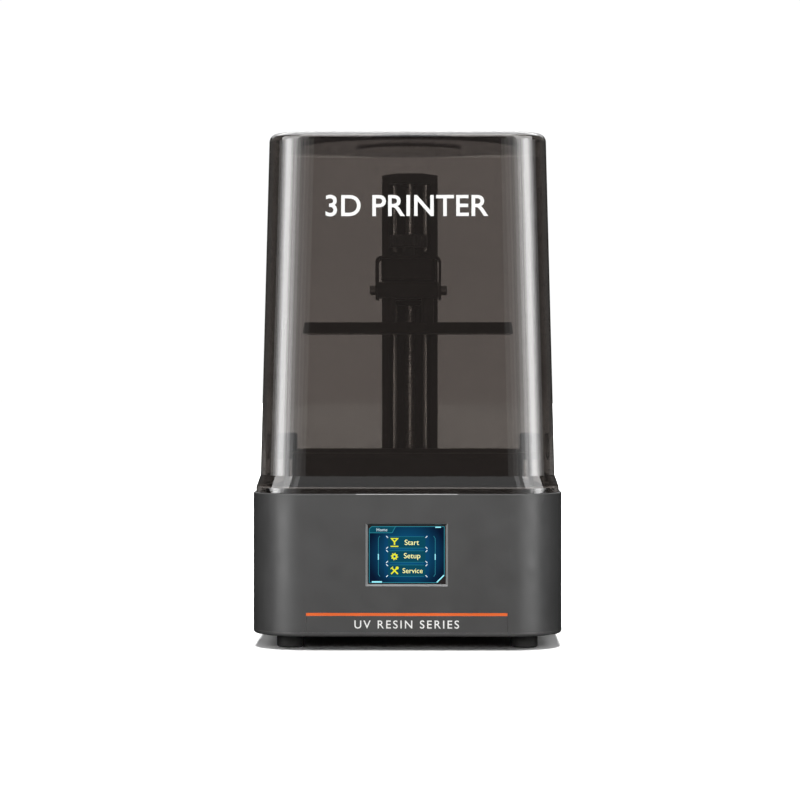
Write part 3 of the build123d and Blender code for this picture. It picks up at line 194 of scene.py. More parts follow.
def edge_mask(tree, radius):
    """How close a point is to a sharp edge: 0 on the flat, towards 1 on the edge."""
    worn, flat = 0.72, 0.97  # how far the rounded normal agrees with the plain one
    geometry = tree.nodes.new("ShaderNodeNewGeometry")
    agreement = tree.nodes.new("ShaderNodeVectorMath")
    agreement.operation = "DOT_PRODUCT"
    tree.links.new(edge_rounding(tree, radius), agreement.inputs[0])
    tree.links.new(geometry.outputs["Normal"], agreement.inputs[1])
    return remap(tree, agreement.outputs["Value"], 1.0, 0.0, worn, flat)


def rounded_normal(tree, shader, radius, height, distance):
    """Rounds the look of sharp edges and adds a fine relief on top."""
    bump = tree.nodes.new("ShaderNodeBump")
    bump.inputs["Strength"].default_value = 1.0
    bump.inputs["Distance"].default_value = distance
    tree.links.new(height, bump.inputs["Height"])
    tree.links.new(edge_rounding(tree, radius), bump.inputs["Normal"])
    tree.links.new(bump.outputs["Normal"], shader.inputs["Normal"])


# ---------------------------------------------------------------- kinds of surface
def moulded(name, colour, rough, grain_mm=0.5, relief_mm=0.02, spread=0.12, metallic=0.0,
            edge_mm=0.35, wear=None, coat=0.0, specular=0.5, painted_highlight_part=None):
    """A solid surface: drifting colour, uneven gloss, a fine grain and, if asked, worn edges and a pale
    painted highlight.
    """
    gloss_spread, coat_roughness, bright = 0.07, 0.15, srgb("a6a6a6")
    material, tree, shader = new_material(name)
    drift = remap(tree, noise(tree, DRIFT, 4), 0.0, 1.0)
    body = blend_colours(tree, drift, scaled(colour, 1 - spread), scaled(colour, 1 + spread))
    if wear is not None:
        patchy = remap(tree, noise(tree, PATCHES, 5), 0.15, 0.9, 0.42, 0.62)
        worn = maths(tree, "MULTIPLY", edge_mask(tree, edge_mm * MM), patchy)
        body = blend_colours(tree, worn, body, wear)
    # painted highlight: a pale colour painted over the faces that the mask picks
    if painted_highlight_part is not None:
        body = blend_colours(tree, painted_highlight_part(tree), body, bright)
    tree.links.new(body, shader.inputs["Base Color"])
    gloss = remap(tree, noise(tree, GLOSS, 4), rough - gloss_spread, rough + gloss_spread)
    tree.links.new(gloss, shader.inputs["Roughness"])
    shader.inputs["Metallic"].default_value = metallic
    shader.inputs["Specular IOR Level"].default_value = specular
    shader.inputs["Coat Weight"].default_value = coat
    shader.inputs["Coat Roughness"].default_value = coat_roughness
    grain = noise(tree, 1 / (grain_mm * MM), 2)
    rounded_normal(tree, shader, edge_mm * MM, grain, relief_mm * MM)
    return material


def clear(name, tint, rough, ior=1.49, lamp_tint=None, smoke=None, marks=None):
    """Glass or clear plastic. Its tint is that of one whole wall; lamps reach what is behind it."""
    smoke_density = 100.0
    material, tree, shader = new_material(name)
    output = tree.nodes["Material Output"]
    shader.inputs["Transmission Weight"].default_value = 1.0
    shader.inputs["IOR"].default_value = ior
    gloss = remap(tree, noise(tree, SMEARS, 3), rough * 0.4, rough * 1.6)
    tree.links.new(gloss, shader.inputs["Roughness"])
    cloudy = remap(tree, noise(tree, CLOUDS, 3), 0.0, 1.0)
    body = blend_colours(tree, cloudy, scaled(tint, 0.97), scaled(tint, 1.02))
    # marks paints extra colour into the tint, such as the lid's painted shade and painted highlight
    if marks:
        body = marks(tree, shader, body)
    tree.links.new(body, shader.inputs["Base Color"])
    through = tree.nodes.new("ShaderNodeBsdfTransparent")
    through.inputs["Color"].default_value = lamp_tint or tuple(c ** 0.5 for c in tint[:3]) + (1.0,)
    both = blend_shaders(tree, ray(tree, "Is Shadow Ray"), shader.outputs["BSDF"], through.outputs["BSDF"])
    tree.links.new(both, output.inputs["Surface"])
    if smoke:
        depth = tree.nodes.new("ShaderNodeVolumeAbsorption")
        depth.inputs["Color"].default_value = smoke
        depth.inputs["Density"].default_value = smoke_density
        tree.links.new(depth.outputs["Volume"], output.inputs["Volume"])
    return material


def glowing(name, colour, strength):
    """A part of the lit picture on the touch screen, with the faint unevenness of a backlight."""
    material, tree, shader = new_material(name)
    uneven = remap(tree, noise(tree, BACKLIGHT, 2), 0.85, 1.0)
    lit = blend_colours(tree, uneven, scaled(colour, 0.8), colour)
    tree.links.new(lit, shader.inputs["Emission Color"])
    shader.inputs["Base Color"].default_value = scaled(colour, 0.15)
    shader.inputs["Specular IOR Level"].default_value = 0.1
    shader.inputs["Emission Strength"].default_value = strength
    shader.inputs["Roughness"].default_value = 0.2
    return material


def turned_metal(name, colour, rough, ring_mm=0.12):
    """Turned or drawn metal, with fine lines round its length."""
    material, tree, shader = new_material(name)
    lines = noise(tree, 1 / (ring_mm * MM), 2, (0.05, 0.05, 1.0))
    tarnish = remap(tree, noise(tree, TARNISH, 4), 0.0, 1.0)
    tone = blend_colours(tree, tarnish, scaled(colour, 0.86), colour)
    tree.links.new(tone, shader.inputs["Base Color"])
    shader.inputs["Metallic"].default_value = 1.0
    tree.links.new(remap(tree, lines, rough - 0.06, rough + 0.1), shader.inputs["Roughness"])
    rounded_normal(tree, shader, 0.2 * MM, lines, 0.006 * MM)
    return material


def sanded_metal(name, colour, rough):
    """A flat metal face with fine crossed sanding marks."""
    material, tree, shader = new_material(name)
    one_way = noise(tree, SANDING, 3, (0.06, 1.0, 1.0))
    other_way = noise(tree, SANDING, 3, (1.0, 0.06, 1.0))
    crossed = maths(tree, "MAXIMUM", one_way, other_way)
    sheet = remap(tree, noise(tree, SHEET, 5), 0.0, 1.0)
    tone = blend_colours(tree, sheet, scaled(colour, 0.8), colour)
    tree.links.new(tone, shader.inputs["Base Color"])
    shader.inputs["Metallic"].default_value = 1.0
    tree.links.new(remap(tree, crossed, rough - 0.1, rough + 0.12), shader.inputs["Roughness"])
    rounded_normal(tree, shader, 0.3 * MM, crossed, 0.012 * MM)
    return material


# ---------------------------------------------------------------- what only one piece shows
SMOKE = (0.380, 0.353, 0.337, 1.0)  # the smoked acrylic, one wall thick
# painted shade: a darker tint for the lid's flat top plate
TOP_PLATE_PAINTED_SHADE = scaled(SMOKE, 0.65)
# painted highlight: a pale line round the lid's rim
RIM_PAINTED_HIGHLIGHT = srgb("98918c")


def window_bevel_painted_highlight(tree):
    """1 on the slanted sides and sill round the touch screen, where a pale colour is painted on as a painted
    highlight.
    """
    low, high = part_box("touch_screen_panel")
    beside, sill, fade = high[0] + 3 * MM, low[2] - 6 * MM, 1 * MM
    place = axes(tree, object_place(tree))
    facing = axes(tree, true_normal(tree))
    aside = maths(tree, "ABSOLUTE", place["X"])
    factors = [
        remap(tree, aside, 1.0, 0.0, beside, beside + fade),
        remap(tree, facing["Y"], 0.0, 1.0, -0.95, -0.85),  # not the flat front
        remap(tree, facing["Y"], 1.0, 0.0, -0.4, -0.3),  # not what runs straight back
        remap(tree, facing["Z"], 0.0, 1.0, -0.3, -0.1),  # not what looks down
        remap(tree, place["Z"], 0.0, 1.0, sill, sill + fade),
    ]
    product = factors[0]
    for factor in factors[1:]:
        product = maths(tree, "MULTIPLY", product, factor)
    return product


def height_band(tree, low, high, soft):
    """1 between two heights, fading to 0 over a short distance outside them."""
    height = axes(tree, object_place(tree))["Z"]
    above = remap(tree, height, 0.0, 1.0, low - soft, low)
    below = remap(tree, height, 1.0, 0.0, high, high + soft)
    return maths(tree, "MINIMUM", above, below)


def lid_painted_shade_and_highlight(tree, shader, body):
    """The lid's top plate gets a darker tint as painted shade, and a pale line round its rim is a painted
    highlight.
    """
    low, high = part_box("lid_shell")
    # painted shade: the flat top plate is tinted darker
    plate = height_band(tree, high[2] - 8 * MM, high[2] - 2 * MM, 0.6 * MM)
    level = maths(tree, "ABSOLUTE", axes(tree, true_normal(tree))["Z"])
    lies_flat = remap(tree, level, 0.0, 1.0, 0.6, 0.8)
    body = blend_colours(tree, maths(tree, "MULTIPLY", lies_flat, plate), body, TOP_PLATE_PAINTED_SHADE)
    # painted highlight: a pale band round the rim, where the lid also lets less light through
    rim = height_band(tree, low[2] + 4.1 * MM, low[2] + 4.6 * MM, 0.15 * MM)
    tree.links.new(remap(tree, rim, 1.0, 0.7, 0.0, 1.0), shader.inputs["Transmission Weight"])
    return blend_colours(tree, rim, body, RIM_PAINTED_HIGHLIGHT)


# ---------------------------------------------------------------- materials, one per record slot
materials = {
    "tinted_acrylic": clear(
        "smoked_acrylic", SMOKE, 0.03, lamp_tint=(0.70, 0.68, 0.67, 1.0),
        smoke=(0.16, 0.14, 0.12, 1.0), marks=lid_painted_shade_and_highlight),
    # the housing gets a painted highlight on the bevel round the touch screen
    "housing_plastic": moulded(
        "housing_grey", srgb("434343"), 0.42, grain_mm=0.6, relief_mm=0.012, spread=0.06,
        wear=srgb("9c9c9c"), painted_highlight_part=window_bevel_painted_highlight),
    "tray_plastic": moulded(
        "tray_grey", srgb("484848"), 0.42, grain_mm=0.6, relief_mm=0.015, wear=srgb("8c8c8c")),
    "trim_plastic": moulded(
        "trim_grey", srgb("464646"), 0.38, grain_mm=0.8, relief_mm=0.006, spread=0.05,
        edge_mm=0.4, wear=srgb("9a9a9a")),
    "orange_accent": moulded(
        "accent_orange", srgb("e8662a"), 0.4, relief_mm=0.006, spread=0.05, edge_mm=0.15),
    "rubber": moulded(
        "foot_rubber", srgb("191919"), 0.78, grain_mm=0.35, relief_mm=0.05, spread=0.2),
    "black_aluminium": moulded(
        "anodised_black", srgb("1f1b19"), 0.36, grain_mm=0.12, relief_mm=0.01, spread=0.1,
        metallic=0.35, wear=srgb("6a625c")),
    "black_plastic": moulded("moulded_black", srgb("1b1a1a"), 0.42, grain_mm=0.4),
    "vat_resin": moulded("vat_black", srgb("1d1917"), 0.4, grain_mm=0.35, edge_mm=0.6),
    "anodised_silver": moulded(
        "anodised_silver", srgb("b4b6b9"), 0.34, grain_mm=0.15, relief_mm=0.01, spread=0.05,
        metallic=1.0),
    "ground_aluminium": sanded_metal("platform_face", srgb("3c3835"), 0.42),
    "steel_polished": turned_metal("ground_rod", srgb("d8d6d3"), 0.1, ring_mm=0.05),
    "screw_steel": turned_metal("turned_steel", srgb("b9b6b2"), 0.27),
    "black_screws": moulded(
        "black_oxide", srgb("1e1e20"), 0.33, grain_mm=0.1, relief_mm=0.01, spread=0.15,
        metallic=0.8, wear=srgb("8b8984")),
    "brass": turned_metal("turned_brass", srgb("c79a4a"), 0.25),
    "glass_panel": moulded(
        "screen_glass", srgb("0b0d12"), 0.12, grain_mm=2.0, relief_mm=0.0005, spread=0.1,
        coat=1.0, edge_mm=0.2),
    "screen_panel": moulded(
        "display_glass", srgb("04060a"), 0.12, grain_mm=2.0, relief_mm=0.0005, spread=0.1, coat=1.0),
    "lcd_panel": moulded(
        "mask_panel", srgb("0c0d10"), 0.2, grain_mm=1.0, relief_mm=0.002, spread=0.1),
    "circuit_board": moulded(
        "solder_mask", srgb("17452c"), 0.35, grain_mm=0.3, relief_mm=0.01, spread=0.15),
    "white_led": moulded(
        "lamp_cover", srgb("e6dfc4"), 0.3, grain_mm=0.3, relief_mm=0.01, spread=0.05),
    "clear_lens": clear("lens_plastic", (0.95, 0.96, 0.97, 1.0), 0.04),
    "black_deck": moulded(
        "powder_coat", srgb("1a1817"), 0.8, grain_mm=0.25, relief_mm=0.03, edge_mm=0.4, specular=0.2),
    "film_clear": clear("release_film", (0.9, 0.92, 0.94, 1.0), 0.12, ior=1.35),
}
for entry in frame["record"]["subparts"]:
    piece = nodes[entry["node"]]
    piece.data.materials.clear()
    piece.data.materials.append(materials[entry["material_slot"]])


# ---------------------------------------------------------------- mesh helpers
def add_mesh(name, mesh, material, body):
    """Puts a mesh in the scene as a piece that rides on a body."""
    piece = bpy.data.objects.new(name, mesh)
    bpy.context.scene.collection.objects.link(piece)
    mesh.materials.append(material)
    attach(piece, body)
    return piece


def finished_mesh(name, build):
    """A mesh from what was built, with its faces turned outwards."""
    bmesh.ops.recalc_face_normals(build, faces=build.faces)
    mesh = bpy.data.meshes.new(name)
    build.to_mesh(mesh)
    build.free()
    return mesh


def join_rings(build, lower, upper):
    """A band of faces between two closed rings of vertices."""
    for i in range(len(lower)):
        j = (i + 1) % len(lower)
        build.faces.new((lower[i], lower[j], upper[j], upper[i]))


def plate_mesh(name, outlines, thickness):
    """Flat shapes in the local XY plane, each given a thickness upwards along Z."""
    build = bmesh.new()
    for outline in outlines:
        low = [build.verts.new((x, y, 0.0)) for x, y in outline]
        high = [build.verts.new((x, y, thickness)) for x, y in outline]
        build.faces.new(high)
        build.faces.new(list(reversed(low)))
        join_rings(build, low, high)
    return finished_mesh(name, build)


def text_mesh(name, words, size, thickness, spacing=1.0, weight=0.0):
    """Plain lettering, centred on the origin of the local XY plane."""
    curve = bpy.data.curves.new(name, "FONT")
    curve.body = words
    curve.size = size
    curve.space_character = spacing
    curve.align_x = "CENTER"
    curve.align_y = "CENTER"
    curve.extrude = thickness / 2
    curve.offset = size * weight
    curve.resolution_u = 6
    holder = bpy.data.objects.new(name + "_curve", curve)
    bpy.context.scene.collection.objects.link(holder)
    view = bpy.context.evaluated_depsgraph_get()
    mesh = bpy.data.meshes.new_from_object(holder.evaluated_get(view))
    mesh.name = name
    bpy.data.objects.remove(holder)
    low = [min(v.co[i] for v in mesh.vertices) for i in range(3)]
    high = [max(v.co[i] for v in mesh.vertices) for i in range(3)]
    middle = Vector([(a + b) / 2 for a, b in zip(low, high)])
    for vertex in mesh.vertices:
        vertex.co -= middle
    mesh.materials.clear()
    return mesh


def stand_up(mesh, x, y, z, lean=0.0):
    """Turns a mesh drawn in the XY plane to face the front, at a place on the object."""
    for vertex in mesh.vertices:
        across, up, out = vertex.co
        vertex.co = (x + across, y - out * math.cos(lean) + up * math.sin(lean),
                     z + up * math.cos(lean) + out * math.sin(lean))
    mesh.update()


# ---------------------------------------------------------------- lead screw with its thread
def lead_screw():
    """A four-start trapezoidal thread with a lead of 8 mm, between two plain journals."""
    low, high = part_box("lead_screw")
    centre = ((low[0] + high[0]) / 2, (low[1] + high[1]) / 2)
    crest, root, journal = (high[0] - low[0]) / 2, 3.05 * MM, 2.5 * MM
    lead, starts, corners, rings_per_thread = 8 * MM, 4, 40, 8
    groove, flank = 0.3, 0.32  # shares of half a thread's height
    bottom, top = low[2] + 34 * MM, high[2] - 9 * MM
    step = lead / starts / rings_per_thread
    rings = [(low[2], journal), (bottom, journal)]
    rings += [(bottom + i * step, None) for i in range(int((top - bottom) / step) + 1)]
    rings += [(top, journal), (high[2], journal)]

    def radius(z, angle):
        """The radius of the thread at a height, in one direction."""
        phase = ((z / lead - angle / (2 * math.pi)) * starts) % 1.0
        from_groove = min(abs(phase - 0.5) * 2, 1.0)
        return root + (crest - root) * min(max((from_groove - groove) / flank, 0.0), 1.0)

    build = bmesh.new()
    loops = []
    for z, plain in rings:
        loop = []
        for i in range(corners):
            angle = 2 * math.pi * i / corners
            r = plain or radius(z, angle)
            x, y = centre[0] + r * math.cos(angle), centre[1] + r * math.sin(angle)
            loop.append(build.verts.new((x, y, z)))
        loops.append(loop)
    for lower, upper in zip(loops, loops[1:]):
        join_rings(build, lower, upper)
    build.faces.new(list(reversed(loops[0])))
    build.faces.new(loops[-1])
    mesh = finished_mesh("lead_screw_thread", build)
    piece = add_mesh("lead_screw_thread", mesh, materials["screw_steel"], "lead_screw_body")
    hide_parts("lead_screw")


lead_screw()


# ---------------------------------------------------------------- picture on the touch screen
SCREEN_LOW, SCREEN_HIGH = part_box("touch_screen_panel")
SCREEN_FACE = SCREEN_LOW[1]
SCREEN_MIDDLE = (SCREEN_LOW[2] + SCREEN_HIGH[2]) / 2
PICTURE_WIDTH, PICTURE_HEIGHT = 57.6, 43.2  # mm
LAYER_MM = 0.03  # how far each layer of the picture stands in front of the last


def add_glow(material):
    """Makes a picture colour lighter towards the middle of the screen."""
    brightest, glow_from, glow_to = srgb("0a5c86"), 4 * MM, 30 * MM
    tree = material.node_tree
    shader = tree.nodes["Principled BSDF"]
    reach = tree.nodes.new("ShaderNodeVectorMath")
    reach.operation = "DISTANCE"
    reach.inputs[1].default_value = (0.0, SCREEN_FACE, SCREEN_MIDDLE)
    tree.links.new(object_place(tree), reach.inputs[0])
    lit = shader.inputs["Emission Color"].links[0].from_socket
    closeness = remap(tree, reach.outputs["Value"], 1.0, 0.0, glow_from, glow_to)
    tree.links.new(blend_colours(tree, closeness, lit, brightest), shader.inputs["Emission Color"])


def rule(x1, y1, x2, y2, width):
    """A straight stroke of a given width."""
    length = math.hypot(x2 - x1, y2 - y1)
    nx, ny = -(y2 - y1) / length * width / 2, (x2 - x1) / length * width / 2
    return [(x1 + nx, y1 + ny), (x2 + nx, y2 + ny), (x2 - nx, y2 - ny), (x1 - nx, y1 - ny)]


def path(points, width):
    """Strokes from point to point."""
    return [rule(*a, *b, width) for a, b in zip(points, points[1:])]


def disc(x, y, r, count=24):
    """A filled circle."""
    angles = [2 * math.pi * i / count for i in range(count)]
    return [(x + r * math.cos(angle), y + r * math.sin(angle)) for angle in angles]


def rectangle(left, top, right, bottom):
    """A filled rectangle."""
    return [(left, top), (right, top), (right, bottom), (left, bottom)]


def gear(x, y, tip=2.75, root=2.0, teeth=8):
    """A cogwheel with square teeth."""
    points = []
    for i in range(teeth * 4):
        angle = 2 * math.pi * (i + 0.5) / (teeth * 4)
        r = tip if i % 4 in (0, 1) else root
        points.append((x + r * math.cos(angle), y + r * math.sin(angle)))
    return points


def screen_picture():
    """A start page with three buttons. All its measures are mm from its top left corner."""
    colours = {
        "night": glowing("picture_night", srgb("02142d"), 0.9),
        "water": glowing("picture_water", srgb("042b50"), 0.8),
        "teal": glowing("picture_teal", srgb("064a5e"), 0.8),
        "line": glowing("picture_line", srgb("2d8a9a"), 0.85),
        "bright": glowing("picture_bright", srgb("9aeefa"), 1.0),
        "white": glowing("picture_white", srgb("d5e6ee"), 1.0),
        "yellow": glowing("picture_yellow", srgb("dede30"), 1.05),
        "cream": glowing("picture_cream", srgb("f7f3a8"), 1.1),
    }
    for colour in ("night", "water"):
        add_glow(colours[colour])
    width, height = PICTURE_WIDTH, PICTURE_HEIGHT

    def place(name, outlines, layer, colour):
        """Shapes in one layer of the picture. Layer 0 lies on the glass."""
        local = [[((x - width / 2) * MM, (height / 2 - y) * MM) for x, y in points] for points in outlines]
        mesh = plate_mesh(name, local, LAYER_MM * MM)
        stand_up(mesh, 0, SCREEN_FACE - layer * LAYER_MM * MM, SCREEN_MIDDLE)
        add_mesh(name, mesh, colours[colour], "base")

    def words(name, text, x, y, size, colour):
        """A word, its middle at a point, in front of the other layers."""
        layer = 4.5
        mesh = text_mesh(name, text, size * MM, LAYER_MM * MM)
        stand_up(mesh, (x - width / 2) * MM, SCREEN_FACE - layer * LAYER_MM * MM,
                 SCREEN_MIDDLE + (height / 2 - y) * MM)
        add_mesh(name, mesh, colours[colour], "base")

    # the page with its cut corners, its tab and its frame
    cut = 6.3
    page = [(2.6, 0.3), (width - 0.4, 0.3), (width - 0.4, height - cut), (width - cut, height - 0.4),
            (0.4, height - 0.4), (0.4, 2.5)]
    place("picture_page", [page], 0, "night")
    place("picture_glow", [rectangle(12, 6.8, 45.6, 39)], 1, "water")
    tab = [(2.4, 0.4), (20.4, 0.4), (17.8, 5.2), (0.5, 5.2), (0.5, 2.4)]
    place("picture_tab", [tab], 1, "teal")
    page_frame = [(20.4, 0.5), (width - 0.7, 0.5), (width - 0.7, height - cut), (width - cut, height - 0.7),
                  (0.7, height - 0.7), (0.7, 5.2), (17.8, 5.2), (20.4, 0.5), (2.5, 0.5), (0.7, 2.4),
                  (0.7, 5.2)]
    lines = path(page_frame, 0.42)
    accents = [rule(50.2, 1.0, 54.4, 1.0, 0.8), rule(2.6, height - 1.2, 10.2, height - 1.2, 1.1),
               rule(width - cut, height - 0.9, width - 0.9, height - cut, 0.9)]
    for side in (-1, 1):
        x = width / 2 + side * 21.3
        lines += path([(x - side * 1.2, 7.6), (x, 9.4), (x, 36.2), (x - side * 1.2, 38.0)], 0.35)
        accents.append(rule(x, 21.0, x, 25.4, 0.7))
    place("picture_lines", lines, 2, "line")
    place("picture_accents", accents, 3, "bright")

    # three buttons
    left, right, button_height = 13.8, 43.8, 8.5
    tops = (8.1, 18.7, 29.3)
    buttons = [rectangle(left + 1, top, right - 1, top + button_height) for top in tops]
    place("picture_buttons", buttons, 2, "teal")
    rules, ticks = [], []
    for top in tops:
        for edge, toward in ((top, 1), (top + button_height, -1)):
            rules.append(rule(left + 2.2, edge, right - 2.2, edge, 0.22))
            for x, inward in ((left, 1), (right, -1)):
                ticks.append(rule(x - inward * 0.4, edge - toward * 0.5,
                                  x + inward * 0.9, edge + toward * 0.8, 0.62))
    place("picture_rules", rules, 3, "line")
    place("picture_ticks", ticks, 4, "white")

    # an icon on each button: a funnel on a base, a gear, and a crossed key and driver
    x = 19.6
    first, second, third = (top + button_height / 2 for top in tops)
    funnel = path([(x - 2.4, first - 3.0), (x - 0.1, first - 0.4)], 0.95)
    funnel += path([(x + 2.4, first - 3.0), (x + 0.1, first - 0.4)], 0.95)
    funnel += [rule(x - 2.9, first - 2.9, x + 2.9, first - 2.9, 0.6),
               rule(x, first - 1.0, x, first + 1.9, 1.0),
               rule(x - 2.9, first + 3.0, x + 2.9, first + 3.0, 0.8)]
    tools = [rule(x - 1.7, third - 1.7, x + 2.5, third + 2.5, 1.0),
             rule(x + 1.7, third - 1.7, x - 2.5, third + 2.5, 1.0),
             rule(x - 2.9, third - 1.2, x - 1.2, third - 2.9, 0.7),
             disc(x + 2.0, third - 2.0, 1.1)]
    place("picture_icons", funnel + [gear(x, second)] + tools, 3, "yellow")
    place("picture_gear_hole", [disc(x, second, 0.95)], 4, "night")

    words("picture_word_start", "Start", 32.6, first, 5.6, "cream")
    words("picture_word_setup", "Setup", 32.8, second, 5.6, "cream")
    words("picture_word_service", "Service", 33.2, third, 5.3, "cream")
    words("picture_word_home", "Home", 10.2, 2.9, 3.3, "white")


screen_picture()


# ---------------------------------------------------------------- printed marks
def printed_marks():
    """Plain descriptive words in white ink on the lid and on the trim plate."""
    ink = moulded("white_ink", srgb("f4f4f2"), 0.45, grain_mm=0.3, relief_mm=0.004, spread=0.02,
                  edge_mm=0.05)

    # on the lid's front wall, which leans back from the top of the skirt
    low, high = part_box("lid_shell")
    skirt_top, skirt_depth, lean_back = low[2] + 13 * MM, 3.1 * MM, 6.5 * MM
    taper = math.atan(lean_back / (high[2] - skirt_top))
    z = 333.5 * MM
    wall = low[1] + skirt_depth + (z - skirt_top) * math.tan(taper)
    sunk = 0.08 * MM  # into the wall, so that the flat letters meet its slant
    mesh = text_mesh("lid_word", "3D PRINTER", 22.5 * MM, 0.12 * MM, spacing=1.02, weight=0.012)
    stand_up(mesh, 0.0, wall - sunk, z, taper)
    add_mesh("lid_word", mesh, ink, "lid")

    low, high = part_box("front_trim_plate")
    mesh = text_mesh("plate_word", "UV RESIN SERIES", 8.6 * MM, 0.1 * MM, spacing=1.28, weight=0.006)
    stand_up(mesh, 0.0, low[1] - 0.05 * MM, (low[2] + high[2]) / 2)
    add_mesh("plate_word", mesh, ink, "base")


printed_marks()


# ---------------------------------------------------------------- studio: floor and surround
def seen_through(tree):
    """1 for rays that came straight through the cover, less for those mirrored on the way, else 0."""
    unmirrored = remap(tree, ray(tree, "Glossy Depth"), 1.0, 0.3, 0.0, 1.0)
    return maths(tree, "MULTIPLY", ray(tree, "Is Transmission Ray"), unmirrored)


def directly_seen(tree):
    """As seen_through, and 1 for rays straight from the eye."""
    return maths(tree, "MAXIMUM", ray(tree, "Is Camera Ray"), seen_through(tree))


def studio_floor():
    """A pale floor. It is dimmer seen through the cover, and darker still for bounced light."""
    seen_low, seen_high = grey(0.90), grey(0.93)
    bounced, through_cover = grey(0.16), (0.445, 0.46, 0.46, 1.0)
    build = bmesh.new()
    bmesh.ops.create_grid(build, x_segments=8, y_segments=8, size=14.0)
    mesh = bpy.data.meshes.new("floor")
    build.to_mesh(mesh)
    build.free()
    floor = bpy.data.objects.new("floor", mesh)
    bpy.context.scene.collection.objects.link(floor)
    material, tree, shader = new_material("studio_floor")
    paper = blend_colours(tree, remap(tree, noise(tree, PAPER, 2), 0, 1), seen_low, seen_high)
    unseen = blend_colours(tree, seen_through(tree), bounced, through_cover)
    tree.links.new(blend_colours(tree, ray(tree, "Is Camera Ray"), unseen, paper),
                   shader.inputs["Base Color"])
    shader.inputs["Roughness"].default_value = 0.6
    shader.inputs["Specular IOR Level"].default_value = 0.2
    mesh.materials.append(material)
    floor.visible_glossy = False
    return floor


def surround():
    """White where it is seen, and dim where it would light or be mirrored."""
    white_strength, dim_strength, mirrored_strength = 1.02, 0.07, 0.012
    world = bpy.data.worlds.new("surround")
    world.use_nodes = True
    tree = world.node_tree
    tree.nodes.clear()
    output = tree.nodes.new("ShaderNodeOutputWorld")
    white = tree.nodes.new("ShaderNodeBackground")
    white.inputs["Color"].default_value = (*WHITE, 1.0)
    white.inputs["Strength"].default_value = white_strength
    dim = tree.nodes.new("ShaderNodeBackground")
    strength = remap(tree, ray(tree, "Is Glossy Ray"), dim_strength, mirrored_strength, 0.0, 1.0)
    tree.links.new(strength, dim.inputs["Strength"])
    both = blend_shaders(tree, directly_seen(tree), dim.outputs["Background"], white.outputs["Background"])
    tree.links.new(both, output.inputs["Surface"])
    bpy.context.scene.world = world


# ---------------------------------------------------------------- studio: lamps
WARM = (1.0, 0.84, 0.77)
SIDES = (("left", -1), ("right", 1))

KEY_ANGLE = 47  # from straight in front, in degrees, as are all the angles here
STRIP_ANGLE = 65
STRIPS = ((0.24, 5.0), (0.44, 4.5), (0.66, 3.4), (0.9, 1.9), (1.3, 1.0))  # width in m, radiance
STRIP_HEIGHT = 0.62  # metres
RIM_FADE_ANGLE = 38
FADES = ((44, 0.8), (38, 0.6), (31, 0.4), (24, 0.4), (16, 0.35), (8, 0.45))  # inner angle, radiance
FADE_OUTER = 50
FADE_HEIGHT, FADE_REACH = 0.7, 1.2  # metres
BEHIND = 0.01  # each softbox of a row stands this far behind the last


def group(name, pieces):
    """The pieces that a lamp is limited to."""
    chosen = bpy.data.collections.new(name)
    for chosen_piece in pieces:
        chosen.objects.link(chosen_piece)
    return chosen


def place_lamp(name, lamp, place, target, glossy=True, diffuse=True, only=None):
    """Aims a lamp. It can be kept out of reflections, or only be in them, or limited to some pieces."""
    holder = bpy.data.objects.new(name, lamp)
    holder.location = place
    holder.rotation_euler = (Vector(target) - Vector(place)).to_track_quat("-Z", "Y").to_euler()
    holder.visible_camera = False
    holder.visible_transmission = False
    holder.visible_glossy = glossy
    holder.visible_diffuse = diffuse
    bpy.context.scene.collection.objects.link(holder)
    if only:
        holder.light_linking.receiver_collection = only


def softbox(name, place, target, size, radiance, glossy=True, diffuse=True, only=None, colour=WHITE):
    """An evenly lit rectangle, size being its width and height."""
    lamp = bpy.data.lights.new(name, "AREA")
    lamp.color = colour
    lamp.shape = "RECTANGLE"
    lamp.size, lamp.size_y = size
    lamp.energy = radiance * math.pi * size[0] * size[1]
    place_lamp(name, lamp, place, target, glossy, diffuse, only)


def beside(sign, angle, distance, height):
    """A place round the printer, at an angle in radians from straight in front."""
    return (sign * distance * math.sin(angle), -distance * math.cos(angle), height)


def even_light(floor, printer):
    """Soft light from the front and above. The floor and the printer each get their own share."""
    ground = group("ground", [floor])
    softbox("ground_front", (0, -3.4, 1.3), (0, 0, 0), (1.5, 1.1), 5.0, glossy=False, only=ground)
    for side, sign in SIDES:
        softbox(f"ground_{side}", (sign * 2.4, -0.3, 1.6), (0, 0, 0), (1.5, 2.0), 3.6, glossy=False,
                only=ground)
    sun = bpy.data.lights.new("overhead", "SUN")
    sun.energy = 10.0
    sun.angle = math.radians(22)
    place_lamp("overhead", sun, (0, 0.5, 4), (0, 0, 0), glossy=False)
    softbox("ceiling", (0, -0.2, 2.4), (0, 0, 0.2), (1.8, 1.8), 3.0, diffuse=False)
    softbox("front_fill", (0, -3.4, 1.3), (0, 0, 0.15), (1.5, 1.1), 20.5, glossy=False, only=printer)


def front_and_top_cards(cover):
    """Cards that show only in reflections, for the front faces, the back and the cover's top edges."""
    target, top = (0, 0, 0.2), (0, 0, 0.38)
    softbox("front_card_low", (0, -3.0, 0.5), target, (3.0, 2.2), 0.3, diffuse=False, colour=WARM)
    softbox("front_card_high", (0, -2.2, 2.3), target, (2.6, 1.2), 1.1, diffuse=False)
    softbox("back_card", (0, 2.0, 1.7), (0, 0, 0.3), (3.4, 1.3), 1.6, diffuse=False)
    softbox("top_line", (0, 0.3, 2.4), top, (3.4, 4.2), 5.5, diffuse=False, only=cover)
    softbox("top_edge", (0, -1.7, 2.9), top, (3.4, 1.2), 2.0, diffuse=False, only=cover)


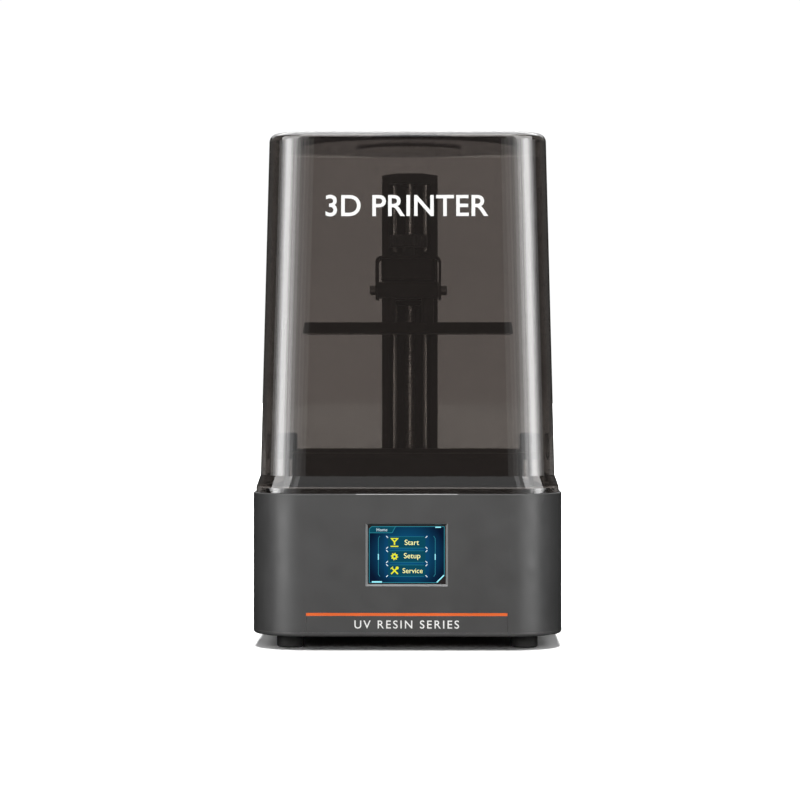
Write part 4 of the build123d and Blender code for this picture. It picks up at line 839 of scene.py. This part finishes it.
def side_cards(cover, shiny, satin):
    """Softboxes for the bright line down each corner and its fade towards the middle."""
    middle_height, target = 0.38, (0, 0, 0.36)
    rim_height, rim_target = 0.86, (0, 0, 0.14)
    key, strip, rim_fade = math.radians(KEY_ANGLE), math.radians(STRIP_ANGLE), math.radians(RIM_FADE_ANGLE)
    for side, sign in SIDES:
        softbox(f"key_{side}", beside(sign, key, 1.9, 0.5), (0, 0, 0.1), (0.9, 1.3), 7.0,
                diffuse=False, only=satin)
        for step, (width, radiance) in enumerate(STRIPS):
            softbox(f"strip_{side}_{step}", beside(sign, strip, 1.1 + BEHIND * step, middle_height), target,
                    (width, STRIP_HEIGHT), radiance, diffuse=False, only=shiny)
        softbox(f"rim_{side}", beside(sign, strip, 1.0, rim_height), rim_target, (0.9, 0.5), 6.5,
                diffuse=False, only=cover)
        softbox(f"rim_fade_{side}", beside(sign, rim_fade, 1.02, rim_height), rim_target, (0.7, 0.5), 1.6,
                diffuse=False, only=cover)
        for step, (inner, radiance) in enumerate(FADES):
            middle = math.radians((inner + FADE_OUTER) / 2)
            width = 2 * FADE_REACH * math.tan(math.radians((FADE_OUTER - inner) / 2))
            softbox(f"fade_{side}_{step}", beside(sign, middle, 1.16 + BEHIND * step, middle_height), target,
                    (width, FADE_HEIGHT), radiance, diffuse=False, only=cover)


def camera():
    """At the photo's distance, height and small step to the right."""
    distance, aside, height = 2.0, 0.03, 0.211
    eye = bpy.data.cameras.new("camera")
    eye.lens, eye.sensor_width = 120.3, 36.0
    eye.shift_x, eye.shift_y = -0.0084, -0.0395
    eye.clip_start, eye.clip_end = 0.05, 60.0
    holder = bpy.data.objects.new("camera", eye)
    holder.location = (aside, cad_box[0][1] - distance, height)
    holder.rotation_euler = (math.radians(90), 0, math.atan(aside / distance))
    bpy.context.scene.collection.objects.link(holder)
    bpy.context.scene.camera = holder


def studio():
    """A pale floor that runs back to a white surround, softboxes, and the camera."""
    floor = studio_floor()
    pieces = [part for part in bpy.data.objects if part.type == "MESH" and part != floor]
    printer = group("printer_pieces", pieces)
    thread = bpy.data.objects["lead_screw_thread"]
    cover = group("cover_pieces", [nodes["lid_shell"]])
    shiny_names = ("lid_shell", "guide_rods", "plate_posts", "column_profile", "platform_knob",
                   "platform_bracket", "z_carriage", "linear_bearings", "carriage_arm")
    shiny = group("shiny_pieces", [nodes[name] for name in shiny_names] + [thread])
    satin_names = ("housing_shell", "bottom_tray", "front_trim_plate", "accent_strip", "rubber_feet")
    satin = group("satin_pieces", [nodes[name] for name in satin_names])
    steel = group("steel_pieces", [nodes["guide_rods"], thread])

    even_light(floor, printer)
    front_and_top_cards(cover)
    side_cards(cover, shiny, satin)
    softbox("rod_light", (0, -2.6, 0.3), (0, 0, 0.25), (0.3, 1.6), 70.0, diffuse=False, only=steel)
    surround()
    camera()
    bpy.context.scene.view_settings.view_transform = "Standard"
    bpy.context.scene.view_settings.look = "None"


studio()
